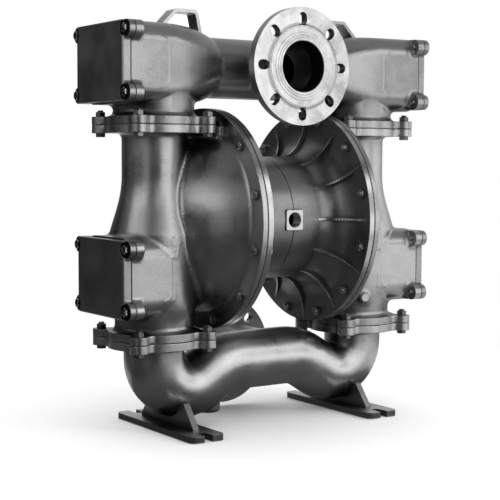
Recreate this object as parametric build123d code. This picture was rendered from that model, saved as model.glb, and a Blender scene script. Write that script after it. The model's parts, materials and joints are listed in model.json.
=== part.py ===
"""Air operated double diaphragm pump with DN100 flanges, in millimetres.

X runs along the diaphragm shaft, the discharge flange faces -Y, and +Z is up.
The origin is on the floor, under the middle of the pump.
"""
import os
from math import asin, atan2, cos, hypot, radians, sin, sqrt

from build123d import *

# Main layout
LEG_X = 247.6  # centre line of the valve legs, each side of the middle
SHAFT_Z = 415.0
DISCHARGE_Z = 715.0
UPPER_JOINT_Z = 600.0
LOWER_BOX_Z = 309.0
LOWER_JOINT_Z = 184.0
SUCTION_Z = 124.5

# Liquid passages
PIPE_R = 60.0
PORT_R = 50.0  # machined bore of the two ports
PORT_BORE_LENGTH = 40.0
CORE_R = 52.0  # as-cast passage
WALL = 10.0

# Valve boxes at the ends of the legs
BOX_HALF_WIDTH = 85.0  # at the crease and at the leg; the mouth is as wide as the cover
BOX_HALF_HEIGHT = 77.0
BOX_CORNER_R = 38.0
COVER_FACE_X = 347.5  # end face of a casting, under a cover gasket
BOX_CREASE_X = 250.0
TAPER_END_X = 130.0
TAPER_STEPS = 6
TAPER_WIDTH_POWER = 1.3
TAPER_HEIGHT_POWER = 2.5
TAPER_FLAT = 1.5  # left of each side where the taper meets the pipe
NECK_R = 79.0
NECK_CORE_R = 62.0

# Access covers
GASKET_T = 1.5
GASKET_INSET = 1.5
COVER_EDGE_T = 12.0
COVER_CENTRE_T = 17.0
COVER_HALF_WIDTH = 93.0
COVER_CORNER_R = 6.0
LOBE_Y = 97.0
LOBE_Z = 58.0
LOBE_R = 16.0
LOBE_NOTCH_R = 7.0
SPOT_FACE_R = 14.5
COVER_FLANGE_T = 16.5
COVER_BOLT_END = 4.0  # of a bolt past the back of the flange
COVER_EDGE_ROUND = 3.0

# Flanged joints of the legs
JOINT_DISC_R = 91.0
JOINT_LUG = 76.0  # bolt centre from the leg centre, along X and along Y
JOINT_LUG_R = 17.0
JOINT_NOTCH_R = 14.0
JOINT_FLANGE_T = 15.4
JOINT_GASKET_T = 1.2
JOINT_GASKET_INSET = 1.2

# Ball valves
BALL_R = 50.0
BALL_GAP = 0.3  # between the ball and its seat or stop
BALL_GUIDE_GAP = 0.8
BALL_LIFT = 38.0
SEAT_BORE_R = 42.0
SEAT_R = 66.0
SEAT_T = 14.0
SEAT_FIT = 0.2
BALL_ABOVE_SEAT = 22.0  # ball centre above the top of the seat
STOP_RIB_T = 14.0
STOP_BRIDGE_T = 10.0
O_RING_R = 60.0
O_RING_W = 3.5
O_RING_H = 3.0
O_RING_FIT = 0.05

# Ports
PORT_FACE_Y = 152.4  # both port faces, in front and behind
PORT_FLANGE_R = 114.5
PORT_FLANGE_T = 20.0
RAISED_FACE_R = 79.0
RAISED_FACE_H = 2.0
SLOT_COUNT = 8
SLOT_PCD = 185.0
SLOT_W = 19.0
SLOT_LENGTH = 25.0

# Chamber rings
RING_R = 220.0
RING_MID_X = 127.8  # middle of the diaphragm edge
DIAPHRAGM_EDGE_T = 2.5
LIQUID_RING_T = 10.5
AIR_RING_T = 11.0
RING_BOLT_COUNT = 12
RING_BOLT_STEP = 17.0  # this step and the next ones run in from the edge of the ring
OPENING_STEP = 42.0
DOME_STEP = 6.0
FLARE_STEP = 35.0
RIB_STEP = 8.0

# Liquid chambers
DOME_CENTRE_X = 30.0
DOME_EDGE_ROUND = 8.0
RISER_R = 62.5
RISER_END_Z = 503.0
SHOULDER_R = 87.0
SHOULDER_Z = 389.0
BELLY_R = 84.0
BELLY_Z = 252.0
LOWER_NECK_R = 77.0
CHAMBER_WALL = 11.0
NECK_BASE = 36.0  # above the lower joint, where the neck starts to widen
NECK_TOP = 48.0  # above the lower joint, where its hollow starts to widen
SHOULDER_SLOPE = (-0.25, 1)

# Air chambers and centre block
BARREL_R = 125.0
BARREL_WALL = 12.0
BARREL_END_X = 62.0
AIR_WALL = 8.0
RIB_COUNT = 12
RIB_T = 6.0
RIB_START_X = 50.0
BLOCK_HALF_LENGTH = 68.0
BLOCK_FIT = 0.3
HUB_FACE_X = 77.0
HUB_BORE_R = 26.3
BLOCK_HUB_R = 45.0
BLOCK_CAVITY_R = 100.0
BLOCK_END_T = 16.0
SEAM_CHAMFER = 1.0

# Exhaust port boss, in front
BOSS_HALF = 20.0
BOSS_HEIGHT = 2.5  # above the barrel
BOSS_CORNER_R = 4.0
EXHAUST_R = 15.15  # G1 thread, at its minor diameter
WINDOW_GAP = 0.3

# Shaft and diaphragms
SHAFT_R = 20.0
SHAFT_STUD_R = 12.0
STUD_LENGTH = 38.0
SHAFT_FIT = 0.05
STROKE = 30.0  # each way from the middle
BUSH_R = 28.0
BUSH_LENGTH = 28.0
SHAFT_SEAL_T = 6.0
INNER_PLATE_FACE_X = 108.0
INNER_PLATE_R = 88.0
INNER_PLATE_HUB_R = 70.0
INNER_PLATE_HUB_T = 6.0
DIAPHRAGM_T = 6.0
BEAD_GAP = 0.3  # past the thick inner rim of a diaphragm
CONVOLUTION_INNER_R = 98.0
CONVOLUTION_GAP = 6.0  # from the outer convolution to the opening of the chambers
CONVOLUTION_RISE = 12.0
EDGE_INSET = 0.6
EDGE_FIT = 1.0
OUTER_PLATE_R = 88.0
OUTER_PLATE_EDGE_T = 5.0
OUTER_PLATE_T = 24.0
STUD_HOLE_FIT = 0.1

# Pilot rod
PILOT_Y = 55.0
PILOT_R = 5.0
PILOT_FIT = 0.05
PILOT_BUSH_R = 8.0
PILOT_BUSH_LENGTH = 20.0
PILOT_TRAVEL = 6.0

# Air valve, behind
PAD_HALF_X = 60.0
PAD_HALF_Z = 40.0
PAD_HEIGHT = 13.0  # above the barrel
VALVE_GASKET_T = 1.5
VALVE_DEPTH = 64.0
VALVE_BOLT_X = 51.0
VALVE_BOLT_Z = 32.5
CAP_BOLT_OFFSET = 19.0  # from the valve axis, along Y and along Z
CAP_INSET = 1.0
VALVE_AXIS_DEPTH = 27.0  # from the gasket to the spool axis
VALVE_BORE_R = 20.0
SLEEVE_R = 14.0
SPOOL_GAP = 0.08
SPOOL_STEM_R = 8.0
SPOOL_TRAVEL = 14.0
LAND_LENGTH = 14.0
LAND_COUNT = 4
SPOOL_END_GAP = 1.0
SPOOL_SEAL_W = 3.0
SPOOL_SEAL_DEPTH = 2.5
VALVE_CAP_T = 12.0
SUPPLY_R = 12.07  # G3/4 thread, at its minor diameter
SUPPLY_DEPTH = 15.0
AIR_PASSAGE_R = 8.0
AIR_PASSAGE_Y = 88.0
AIR_PASSAGE_X = 30.0
VALVE_PORT_R = 5.0

# Inlet manifold route: a drop, a wide turn under the leg, a rise to the middle pipe
ELBOW_CORNER_Z = 25.7
ELBOW_BEND_R = 65.1
RISE_CORNER_X = 94.3
RISE_BEND_R = 110.7

# Feet
FOOT_X = 214.5
FOOT_HALF_WIDTH = 37.5
FOOT_HALF_LENGTH = 150.0
FOOT_T = 12.5
FOOT_CORNER_R = 12.0
FOOT_NOTCH_W = 18.0
FOOT_NOTCH_DEPTH = 35.0
WEB_X = 213.0
WEB_T = 13.0
WEB_BASE_Y = 100.5
WEB_TOP_Y = 66.0
WEB_TOP_Z = 60.0
WEB_TOE_Z = 17.0
WELD_GAP = 0.15

# Drain boss under the left side of the inlet manifold, and its plug
DRAIN_X = -124.5
DRAIN_BOSS_R = 26.0
DRAIN_BOSS_Z = 25.0
DRAIN_ROUND = 8.0
DRAIN_PLUG_R = 12.0
DRAIN_PLUG_DEPTH = 16.0
DRAIN_SINK = 1.0
DRAIN_SOCKET_AF = 12.0
DRAIN_SOCKET_DEPTH = 8.0

# Earth screw on the right chamber
EARTH_ANGLE = 248.8
EARTH_Z = 244.0
EARTH_BOSS_R = 11.0
EARTH_FACE_R = 87.0  # from the leg centre
EARTH_DEPTH = 10.0

# Lifting straps
STRAP_T = 6.5
STRAP_W = 32.0
STRAP_FOOT_X = 243.0
STRAP_FOOT_Z = 785.0
STRAP_SHOULDER_X = 206.0
STRAP_TOP_Z = 822.5
STRAP_CORNER_X = 160.0
STRAP_TOE_X = 150.0
STRAP_TOE_Z = 775.0
STRAP_BEND_R = 8.0

# Fasteners: thread radius, width across flats, head and nut heights
JOINT_BOLT_R = 6.0
JOINT_BOLT_AF = 18.0
JOINT_HEAD_H = 7.5
JOINT_NUT_H = 9.5
COVER_BOLT_R = 5.0
COVER_BOLT_AF = 16.0
COVER_HEAD_H = 6.4
CHAMBER_BOLT_R = 5.0
CHAMBER_BOLT_AF = 16.0
CHAMBER_HEAD_H = 6.4
CHAMBER_NUT_H = 8.0
SMALL_BOLT_R = 4.0
SMALL_BOLT_AF = 13.0
SMALL_HEAD_H = 5.3
SMALL_THREAD_DEPTH = 14.0
CAP_BOLT_R = 3.0
CAP_BOLT_AF = 10.0
CAP_HEAD_H = 4.0
CAP_THREAD_DEPTH = 12.0
HOLE_GAP = 0.5  # radial, round a bolt in a clearance hole
THREAD_GAP = 0.05
THREAD_END = 3.0  # of bolt past its nut, and of hole past its bolt
HEAD_CHAMFER = 0.12  # of the width across flats, at the corners of a head

CUT = 1.0  # by which a cut runs past the face it opens in

# Places worked out from the sizes above
RING_BOLT_PCD = 2 * (RING_R - RING_BOLT_STEP)
CHAMBER_OPENING_R = RING_R - OPENING_STEP
DOME_R = RING_R - DOME_STEP
FLARE_R = RING_R - FLARE_STEP
RIB_TOP_R = RING_R - RIB_STEP
CONVOLUTION_OUTER_R = CHAMBER_OPENING_R - CONVOLUTION_GAP
HALF_EDGE = DIAPHRAGM_EDGE_T / 2
LIQUID_FACE_X = RING_MID_X + HALF_EDGE
AIR_FACE_X = RING_MID_X - HALF_EDGE
RING_OUT_X = LIQUID_FACE_X + LIQUID_RING_T
RING_IN_X = AIR_FACE_X - AIR_RING_T
COVER_X = COVER_FACE_X + GASKET_T
COVER_HALF_HEIGHT = LOBE_Z + LOBE_R
HALF_JOINT = JOINT_GASKET_T / 2
SEAT_BASE = HALF_JOINT
SEAT_TOP = SEAT_BASE + SEAT_T
BALL_REST = SEAT_TOP + BALL_ABOVE_SEAT
DIAPHRAGM_IN_X = RING_MID_X - DIAPHRAGM_T / 2
DIAPHRAGM_OUT_X = RING_MID_X + DIAPHRAGM_T / 2
BARREL_CORE_R = BARREL_R - BARREL_WALL
BOSS_FACE_Y = BARREL_R + BOSS_HEIGHT
PAD_FACE_Y = BARREL_R + PAD_HEIGHT
VALVE_BASE_Y = PAD_FACE_Y + VALVE_GASKET_T
VALVE_AXIS_Y = VALVE_BASE_Y + VALVE_AXIS_DEPTH
VALVE_BACK_Y = VALVE_BASE_Y + VALVE_DEPTH
SPOOL_LAND_R = SLEEVE_R - SPOOL_GAP
SPOOL_LENGTH = 2 * (PAD_HALF_X - SPOOL_END_GAP) - SPOOL_TRAVEL
PILOT_HALF_LENGTH = INNER_PLATE_FACE_X - STROKE + PILOT_TRAVEL - BALL_GAP


def block(x0, x1, y0, y1, z0, z1):
    """Box between two corners."""
    return Pos((x0 + x1) / 2, (y0 + y1) / 2, (z0 + z1) / 2) * Box(x1 - x0, y1 - y0, z1 - z0)


def rod(radius, start, end):
    """Round bar from one point to another."""
    along = Vector(*end) - Vector(*start)
    return extrude(Plane(Vector(*start), z_dir=along) * Circle(radius), along.length)


def rod_x(radius, x0, x1, y=0.0, z=SHAFT_Z):
    return rod(radius, (x0, y, z), (x1, y, z))


def rod_y(radius, y0, y1, x=0.0, z=SHAFT_Z):
    return rod(radius, (x, y0, z), (x, y1, z))


def rod_z(radius, z0, z1, x=LEG_X, y=0.0):
    return rod(radius, (x, y, z0), (x, y, z1))


def plate_x(sketch, x0, x1, z):
    """Plate across X. The sketch's first axis is Y and its second is Z."""
    return extrude(Plane((x0, 0, z), x_dir=(0, 1, 0), z_dir=(1, 0, 0)) * sketch, x1 - x0)


def plate_z(sketch, z0, z1, x=LEG_X):
    return extrude(Plane((x, 0, z0)) * sketch, z1 - z0)


def turned_x(outline):
    """Solid turned about the shaft. The outline gives x, then radius."""
    return Pos(0, 0, SHAFT_Z) * revolve(outline, Axis.X)


def turned_z(outline, x=LEG_X):
    """Solid turned about an upright axis. The outline gives radius, then z."""
    return Pos(x, 0, 0) * revolve(Plane.XZ * outline, Axis.Z)


def outline(*points):
    return make_face(Polyline(*points, close=True))


def left(part):
    """The same part on the other side of the pump."""
    return mirror(part, Plane.YZ)


def both(part):
    return [part, left(part)]


def group(parts):
    """Separate solids that share one node."""
    solids = []
    for part in parts:
        solids.extend(part.solids())
    return Compound(children=solids)


def save(name, part):
    export_step(part, f"parts/{name}.step")


def round_points(count, radius, first=0.0):
    """Points evenly spaced on a circle, from the given angle on."""
    angles = [radians(first + 360 * i / count) for i in range(count)]
    return [(radius * cos(a), radius * sin(a)) for a in angles]


def corners(half_x, half_y):
    return [(sx * half_x, sy * half_y) for sx in (-1, 1) for sy in (-1, 1)]


# Sections of the castings

def rounded_section(half_width, half_height, corner):
    """Rounded rectangle as a wire of four sides and four corner arcs."""
    sketch = RectangleRounded(2 * half_width, 2 * half_height, corner)
    return sketch.face().outer_wire()


def taper_sizes(step, inset):
    """Half-width, half-height and corner radius of the taper, from the box to the pipe."""
    share = step / TAPER_STEPS
    end = PIPE_R - inset
    width = BOX_HALF_WIDTH - inset
    height = BOX_HALF_HEIGHT - inset
    corner = BOX_CORNER_R - inset
    round_end = end - TAPER_FLAT
    return (
        end + (width - end) * (1 - share**TAPER_WIDTH_POWER),
        end + (height - end) * (1 - share**TAPER_HEIGHT_POWER),
        corner + (round_end - corner) * share,
    )


def taper(inset):
    """Change from the valve box to the round pipe, on the discharge manifold."""
    sections = []
    for step in range(TAPER_STEPS + 1):
        x = BOX_CREASE_X + (TAPER_END_X - BOX_CREASE_X) * step / TAPER_STEPS
        plane = Plane((x, 0, DISCHARGE_Z), x_dir=(0, 1, 0), z_dir=(1, 0, 0))
        sections.append(plane * Face(rounded_section(*taper_sizes(step, inset))))
    return loft(sections, ruled=True)


def box_section(inset):
    return RectangleRounded(
        2 * (BOX_HALF_WIDTH - inset), 2 * (BOX_HALF_HEIGHT - inset), BOX_CORNER_R - inset
    )


def cover_outline(inset=0.0):
    """Outline shared by the covers, their gaskets and the casting faces below them."""
    sketch = RectangleRounded(
        2 * (COVER_HALF_WIDTH - inset), 2 * (COVER_HALF_HEIGHT - inset), COVER_CORNER_R
    )
    for y, z in corners(LOBE_Y, LOBE_Z):
        sketch += Pos(y, z) * Circle(LOBE_R - inset)
    side = COVER_HALF_WIDTH - inset
    inner = [
        v for v in sketch.vertices()
        if abs(abs(v.X) - side) < 0.01 and abs(v.Y) < LOBE_Z
    ]
    return fillet(inner, LOBE_NOTCH_R)


def joint_outline(inset=0.0):
    """Round flange with four bolt lugs."""
    disc = JOINT_DISC_R - inset
    lug = JOINT_LUG_R - inset
    sketch = Circle(disc)
    reach = hypot(JOINT_LUG, JOINT_LUG)
    for angle in (45, 135, 225, 315):
        sketch += Rot(0, 0, angle) * Pos(reach / 2, 0) * Rectangle(reach, 2 * lug)
        sketch += Rot(0, 0, angle) * Pos(reach, 0) * Circle(lug)
    inner = [
        v for v in sketch.vertices()
        if abs(hypot(v.X, v.Y) - disc) < 0.01 and min(abs(v.X), abs(v.Y)) > lug
    ]
    return fillet(inner, JOINT_NOTCH_R)


def box_body(root_x, z):
    """Valve box from its root to its mouth, which is as wide as the cover."""
    back = COVER_FACE_X - COVER_FLANGE_T
    mouth = RectangleRounded(2 * COVER_HALF_WIDTH, 2 * BOX_HALF_HEIGHT, BOX_CORNER_R)
    root = Plane((root_x, 0, z), x_dir=(0, 1, 0), z_dir=(1, 0, 0))
    front = Plane((back, 0, z), x_dir=(0, 1, 0), z_dir=(1, 0, 0))
    part = loft([root * box_section(0), front * mouth], ruled=True)
    part += plate_x(mouth, back, COVER_FACE_X, z)
    return part + plate_x(cover_outline(), back, COVER_FACE_X, z)


def cover_threads(z):
    """Tapped holes for the bolts of one cover."""
    depth = COVER_FLANGE_T + COVER_BOLT_END + CUT
    return [
        rod_x(COVER_BOLT_R + THREAD_GAP, COVER_FACE_X - depth, COVER_FACE_X, y, z + dz)
        for y, dz in corners(LOBE_Y, LOBE_Z)
    ]


def joint_holes(z0, z1):
    return [
        rod_z(JOINT_BOLT_R + HOLE_GAP, z0, z1, LEG_X + x, y)
        for x, y in corners(JOINT_LUG, JOINT_LUG)
    ]


def stop_bridge(joint_z, outer):
    """Cast rib over the ball that guides it at both sides and stops its lift."""
    base = joint_z + SEAT_TOP
    rest = joint_z + BALL_REST
    top = rest + BALL_LIFT
    reach = BALL_R + BALL_GUIDE_GAP
    crown = BALL_R + BALL_GAP
    rib = block(
        LEG_X - STOP_RIB_T / 2, LEG_X + STOP_RIB_T / 2,
        -BOX_HALF_WIDTH, BOX_HALF_WIDTH,
        base, top + crown + STOP_BRIDGE_T,
    )
    rib = rib & outer
    rib -= rod_z(reach, base, top)
    rib -= Pos(LEG_X, 0, top) * Sphere(crown)
    return rib


def valve_space(joint_z, box_z, top_z):
    """Hollow of one valve: seat pocket, neck and box."""
    space = rod_z(SEAT_R + SEAT_FIT, joint_z, joint_z + SEAT_TOP)
    space += rod_z(NECK_CORE_R, joint_z, top_z)
    space += plate_x(box_section(WALL), LEG_X, COVER_FACE_X, box_z)
    return space


def port_flange(side, z):
    """Universal flange, with its raised face at the port face."""
    face = side * PORT_FACE_Y
    seat = side * (PORT_FACE_Y - RAISED_FACE_H)
    back = side * (PORT_FACE_Y - PORT_FLANGE_T)
    part = rod_y(PORT_FLANGE_R, back, seat, 0, z)
    part += rod_y(RAISED_FACE_R, seat, face, 0, z)
    start = side * (PORT_FACE_Y - PORT_FLANGE_T - CUT)
    flat = SLOT_LENGTH - SLOT_W
    for i in range(SLOT_COUNT):
        turn = Rot(0, 360 * i / SLOT_COUNT, 0)
        slot = extrude(
            Plane((0, start, 0), x_dir=(0, 0, 1), z_dir=(0, side, 0))
            * Pos(SLOT_PCD / 2, 0)
            * SlotCenterToCenter(flat, SLOT_W),
            PORT_FLANGE_T + 2 * CUT,
        )
        part -= Pos(0, 0, z) * turn * slot
    return part


# Castings

def discharge_manifold():
    z = DISCHARGE_Z
    outer = rod_x(PIPE_R, 0, TAPER_END_X + 1, 0, z)
    outer += taper(0)
    outer += box_body(BOX_CREASE_X, z)
    outer += rod_z(NECK_R, UPPER_JOINT_Z + HALF_JOINT, z - BOX_HALF_HEIGHT / 2)
    outer += plate_z(
        joint_outline(), UPPER_JOINT_Z + HALF_JOINT, UPPER_JOINT_Z + HALF_JOINT + JOINT_FLANGE_T
    )
    space = rod_x(CORE_R, 0, LEG_X, 0, z)
    space += taper(WALL)
    space += plate_x(box_section(WALL), BOX_CREASE_X, COVER_FACE_X, z)
    space += valve_space(UPPER_JOINT_Z, z, z)
    space -= stop_bridge(UPPER_JOINT_Z, outer)
    half = outer - space
    half -= cover_threads(z)
    half -= joint_holes(UPPER_JOINT_Z, UPPER_JOINT_Z + HALF_JOINT + JOINT_FLANGE_T + CUT)
    part = half + left(half)
    branch = rod_y(PIPE_R, -PORT_FACE_Y + PORT_FLANGE_T / 2, -CORE_R, 0, z)
    part += branch - rod_x(CORE_R, -PIPE_R, PIPE_R, 0, z)
    part += port_flange(-1, z)
    part -= rod_y(CORE_R, -PORT_FACE_Y + PORT_BORE_LENGTH, 0, 0, z)
    part -= rod_y(PORT_R, -PORT_FACE_Y, 0, 0, z)
    return part


def riser_outline(inset):
    """Half section of a leg, from the upper joint down to the lower one."""
    low = LOWER_JOINT_Z + HALF_JOINT
    high = UPPER_JOINT_Z - HALF_JOINT
    side = Polyline(
        (0, low), (LOWER_NECK_R - inset, low), (LOWER_NECK_R - inset, LOWER_JOINT_Z + NECK_BASE),
        (BELLY_R - inset, BELLY_Z), (SHOULDER_R - inset, SHOULDER_Z),
    )
    curve = Spline(
        (SHOULDER_R - inset, SHOULDER_Z), (RISER_R - inset, RISER_END_Z),
        tangents=(SHOULDER_SLOPE, (0, 1)),
    )
    top = Polyline((RISER_R - inset, RISER_END_Z), (RISER_R - inset, high), (0, high), (0, low))
    return make_face(side + curve + top)


def dome(radius, face_x):
    """Solid dome of a liquid chamber, from the plane at face_x outward."""
    edge = sqrt(radius**2 - (face_x - DOME_CENTRE_X) ** 2)
    half_turn = atan2(edge, face_x - DOME_CENTRE_X) / 2
    middle = (DOME_CENTRE_X + radius * cos(half_turn), radius * sin(half_turn))
    arc = ThreePointArc((face_x, edge), middle, (DOME_CENTRE_X + radius, 0))
    lines = Polyline((DOME_CENTRE_X + radius, 0), (face_x, 0), (face_x, edge))
    return turned_x(make_face(arc + lines))


def ring_holes(x0, x1, radius):
    points = round_points(RING_BOLT_COUNT, RING_BOLT_PCD / 2, 180 / RING_BOLT_COUNT)
    return [rod_x(radius, x0, x1, y, SHAFT_Z + z) for y, z in points]


def earth_point(reach):
    angle = radians(EARTH_ANGLE)
    return LEG_X + reach * cos(angle), reach * sin(angle), EARTH_Z


def liquid_chamber():
    shell = rod_x(RING_R, LIQUID_FACE_X, RING_OUT_X)
    shell += dome(DOME_R, LIQUID_FACE_X)
    rim = [
        e for e in shell.edges().filter_by(GeomType.CIRCLE)
        if abs(e.center().X - RING_OUT_X) < 0.01 and e.radius < RING_R - 1
    ]
    shell = fillet(rim, DOME_EDGE_ROUND)
    outer = shell + turned_z(riser_outline(0))
    outer += box_body(LEG_X, LOWER_BOX_Z)
    low = LOWER_JOINT_Z + HALF_JOINT
    high = UPPER_JOINT_Z - HALF_JOINT
    outer += plate_z(joint_outline(), low, low + JOINT_FLANGE_T)
    outer += plate_z(joint_outline(), high - JOINT_FLANGE_T, high)
    space = turned_z(riser_outline(CHAMBER_WALL)) - rod_z(2 * NECK_R, LOWER_JOINT_Z, LOWER_JOINT_Z + NECK_TOP)
    space += valve_space(LOWER_JOINT_Z, LOWER_BOX_Z, LOWER_BOX_Z)
    space -= stop_bridge(LOWER_JOINT_Z, outer)
    space += dome(DOME_R - CHAMBER_WALL, LIQUID_FACE_X)
    space += rod_x(CHAMBER_OPENING_R, LIQUID_FACE_X, DIAPHRAGM_OUT_X + BEAD_GAP)
    part = outer - space
    part -= cover_threads(LOWER_BOX_Z)
    part -= joint_holes(LOWER_JOINT_Z, low + JOINT_FLANGE_T + CUT)
    part -= joint_holes(high - JOINT_FLANGE_T - CUT, UPPER_JOINT_Z)
    part -= ring_holes(LIQUID_FACE_X, RING_OUT_X + CUT, CHAMBER_BOLT_R + HOLE_GAP)
    return part


def with_earth_boss(chamber):
    part = chamber + rod(EARTH_BOSS_R, earth_point(SHOULDER_R - WALL), earth_point(EARTH_FACE_R))
    depth = EARTH_FACE_R - EARTH_DEPTH - CUT
    return part - rod(COVER_BOLT_R + THREAD_GAP, earth_point(depth), earth_point(EARTH_FACE_R))


def flare(wall):
    """Quarter ellipse from the barrel to the ring, or its inner side a wall further out."""
    centre = (BARREL_END_X, FLARE_R)
    width = RING_IN_X - BARREL_END_X + wall
    height = FLARE_R - BARREL_R + wall
    return EllipticalCenterArc(centre, width, height, start_angle=270, arc_size=90)


def rib_face():
    """Side of a rib: its free edge is a quarter ellipse, and its root lies inside the flare's wall."""
    sunk = AIR_WALL / 2
    centre = (RIB_START_X, RIB_TOP_R)
    width = RING_IN_X - RIB_START_X
    free_edge = EllipticalCenterArc(
        centre, width, RIB_TOP_R - BARREL_R + CUT, start_angle=270, arc_size=90
    )
    behind = Polyline(
        (RING_IN_X, RIB_TOP_R), (RING_IN_X + sunk, RIB_TOP_R), (RING_IN_X + sunk, FLARE_R)
    )
    below = Polyline(
        (BARREL_END_X, BARREL_R - sunk), (RIB_START_X, BARREL_R - sunk), (RIB_START_X, BARREL_R - CUT)
    )
    return make_face(free_edge + behind + flare(sunk) + below)


def air_chamber():
    bell = outline(
        (0, BARREL_CORE_R), (0, BARREL_R - SEAM_CHAMFER), (SEAM_CHAMFER, BARREL_R),
        (BARREL_END_X, BARREL_R), (RING_IN_X, FLARE_R), (RING_IN_X, RING_R),
        (AIR_FACE_X, RING_R), (AIR_FACE_X, 0), (BLOCK_HALF_LENGTH, 0), (BLOCK_HALF_LENGTH, BARREL_CORE_R),
    )
    outside = make_face(flare(0) + Polyline(
        (RING_IN_X, FLARE_R), (BARREL_END_X, FLARE_R), (BARREL_END_X, BARREL_R)
    ))
    reach = FLARE_R - BARREL_R + AIR_WALL
    width = RING_IN_X - BARREL_END_X + AIR_WALL
    part = turned_x(bell) - turned_x(outside)
    dish = turned_x(make_face(flare(AIR_WALL) + Polyline(
        (BARREL_END_X + width, FLARE_R), (BARREL_END_X, FLARE_R), (BARREL_END_X, FLARE_R - reach)
    )))
    cup = rod_x(CHAMBER_OPENING_R, HUB_FACE_X, AIR_FACE_X)
    part -= cup - dish
    rib = extrude(rib_face(), RIB_T / 2, both=True)
    for i in range(RIB_COUNT):
        part += Pos(0, 0, SHAFT_Z) * Rot(360 * i / RIB_COUNT, 0, 0) * rib
    part -= rod_x(HUB_BORE_R, BLOCK_HALF_LENGTH, HUB_FACE_X)
    part -= rod_x(PILOT_R + HOLE_GAP, BLOCK_HALF_LENGTH, HUB_FACE_X, PILOT_Y)
    part -= rod_x(AIR_PASSAGE_R, BLOCK_HALF_LENGTH, HUB_FACE_X, AIR_PASSAGE_Y)
    part -= ring_holes(RING_IN_X - CUT, AIR_FACE_X, CHAMBER_BOLT_R + HOLE_GAP)
    boss = BOSS_HALF + WINDOW_GAP
    part -= block(-boss, boss, -BOSS_FACE_Y, -BLOCK_CAVITY_R, SHAFT_Z - boss, SHAFT_Z + boss)
    pad_x = PAD_HALF_X + WINDOW_GAP
    pad_z = PAD_HALF_Z + WINDOW_GAP
    part -= block(-pad_x, pad_x, BLOCK_CAVITY_R, PAD_FACE_Y, SHAFT_Z - pad_z, SHAFT_Z + pad_z)
    return part


def valve_ports():
    """Air passages from the valve face through the block to both air chambers."""
    holes = []
    for side in (-1, 1):
        holes.append(rod_x(AIR_PASSAGE_R, side * AIR_PASSAGE_X, side * BLOCK_HALF_LENGTH, AIR_PASSAGE_Y))
        holes.append(rod_y(VALVE_PORT_R, AIR_PASSAGE_Y, PAD_FACE_Y, side * AIR_PASSAGE_X))
    holes.append(rod_y(VALVE_PORT_R, BLOCK_HUB_R, PAD_FACE_Y, 0))
    return holes


def centre_block():
    length = BLOCK_HALF_LENGTH
    part = rod_x(BARREL_CORE_R - BLOCK_FIT, -length, length)
    inner = length - BLOCK_END_T
    cavity = rod_x(BLOCK_CAVITY_R, -inner, inner) - rod_x(BLOCK_HUB_R, -inner, inner)
    cavity -= block(-inner, inner, 0, PAD_FACE_Y, SHAFT_Z - PAD_HALF_Z / 2, SHAFT_Z + PAD_HALF_Z / 2)
    part -= cavity
    boss = RectangleRounded(2 * BOSS_HALF, 2 * BOSS_HALF, BOSS_CORNER_R)
    front = Plane((0, -BOSS_FACE_Y, SHAFT_Z), x_dir=(1, 0, 0), z_dir=(0, 1, 0))
    part += extrude(front * boss, BOSS_FACE_Y - BLOCK_CAVITY_R)
    part += block(
        -PAD_HALF_X, PAD_HALF_X, BLOCK_CAVITY_R, PAD_FACE_Y, SHAFT_Z - PAD_HALF_Z, SHAFT_Z + PAD_HALF_Z
    )
    part -= rod_y(EXHAUST_R, -BOSS_FACE_Y, -BLOCK_HUB_R - BLOCK_FIT)
    part -= rod_x(BUSH_R, -length, length)
    part -= rod_x(PILOT_BUSH_R, -length, length, PILOT_Y)
    part -= valve_ports()
    depth = SMALL_THREAD_DEPTH + THREAD_END
    for x, z in corners(VALVE_BOLT_X, VALVE_BOLT_Z):
        part -= rod_y(SMALL_BOLT_R + THREAD_GAP, PAD_FACE_Y - depth, PAD_FACE_Y, x, SHAFT_Z + z)
    return part


def inlet_route():
    """Centre line of the inlet manifold, from the right leg to the middle."""
    return FilletPolyline(
        (LEG_X, 0, LOWER_JOINT_Z - HALF_JOINT),
        (LEG_X, 0, ELBOW_CORNER_Z),
        (RISE_CORNER_X, 0, SUCTION_Z),
        (0, 0, SUCTION_Z),
        radius=[ELBOW_BEND_R, RISE_BEND_R],
    )


def inlet_tube(radius):
    top = Plane((LEG_X, 0, LOWER_JOINT_Z - HALF_JOINT), z_dir=(0, 0, -1))
    return sweep(top * Circle(radius), path=inlet_route())


def inlet_manifold():
    high = LOWER_JOINT_Z - HALF_JOINT
    outer = inlet_tube(PIPE_R)
    outer += plate_z(joint_outline(), high - JOINT_FLANGE_T, high)
    outer += left(outer)
    outer += rod_y(PIPE_R, 0, PORT_FACE_Y - PORT_FLANGE_T / 2, 0, SUCTION_Z)
    outer += port_flange(1, SUCTION_Z)
    core = inlet_tube(CORE_R)
    boss = rod_z(DRAIN_BOSS_R, DRAIN_BOSS_Z, SUCTION_Z - PIPE_R / 2, DRAIN_X)
    rim = boss.faces().sort_by(Axis.Z)[0].edges()
    outer += fillet(rim, DRAIN_ROUND)
    part = outer - core - left(core)
    drain_end = DRAIN_BOSS_Z + DRAIN_PLUG_DEPTH + THREAD_END
    part -= rod_z(DRAIN_PLUG_R + THREAD_GAP, DRAIN_BOSS_Z, drain_end, DRAIN_X)
    part -= rod_y(CORE_R, 0, PORT_FACE_Y - PORT_BORE_LENGTH, 0, SUCTION_Z)
    part -= rod_y(PORT_R, 0, PORT_FACE_Y, 0, SUCTION_Z)
    holes = joint_holes(high - JOINT_FLANGE_T - CUT, LOWER_JOINT_Z)
    part -= holes
    part -= [left(h) for h in holes]
    return part


# Fittings of the castings

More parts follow.
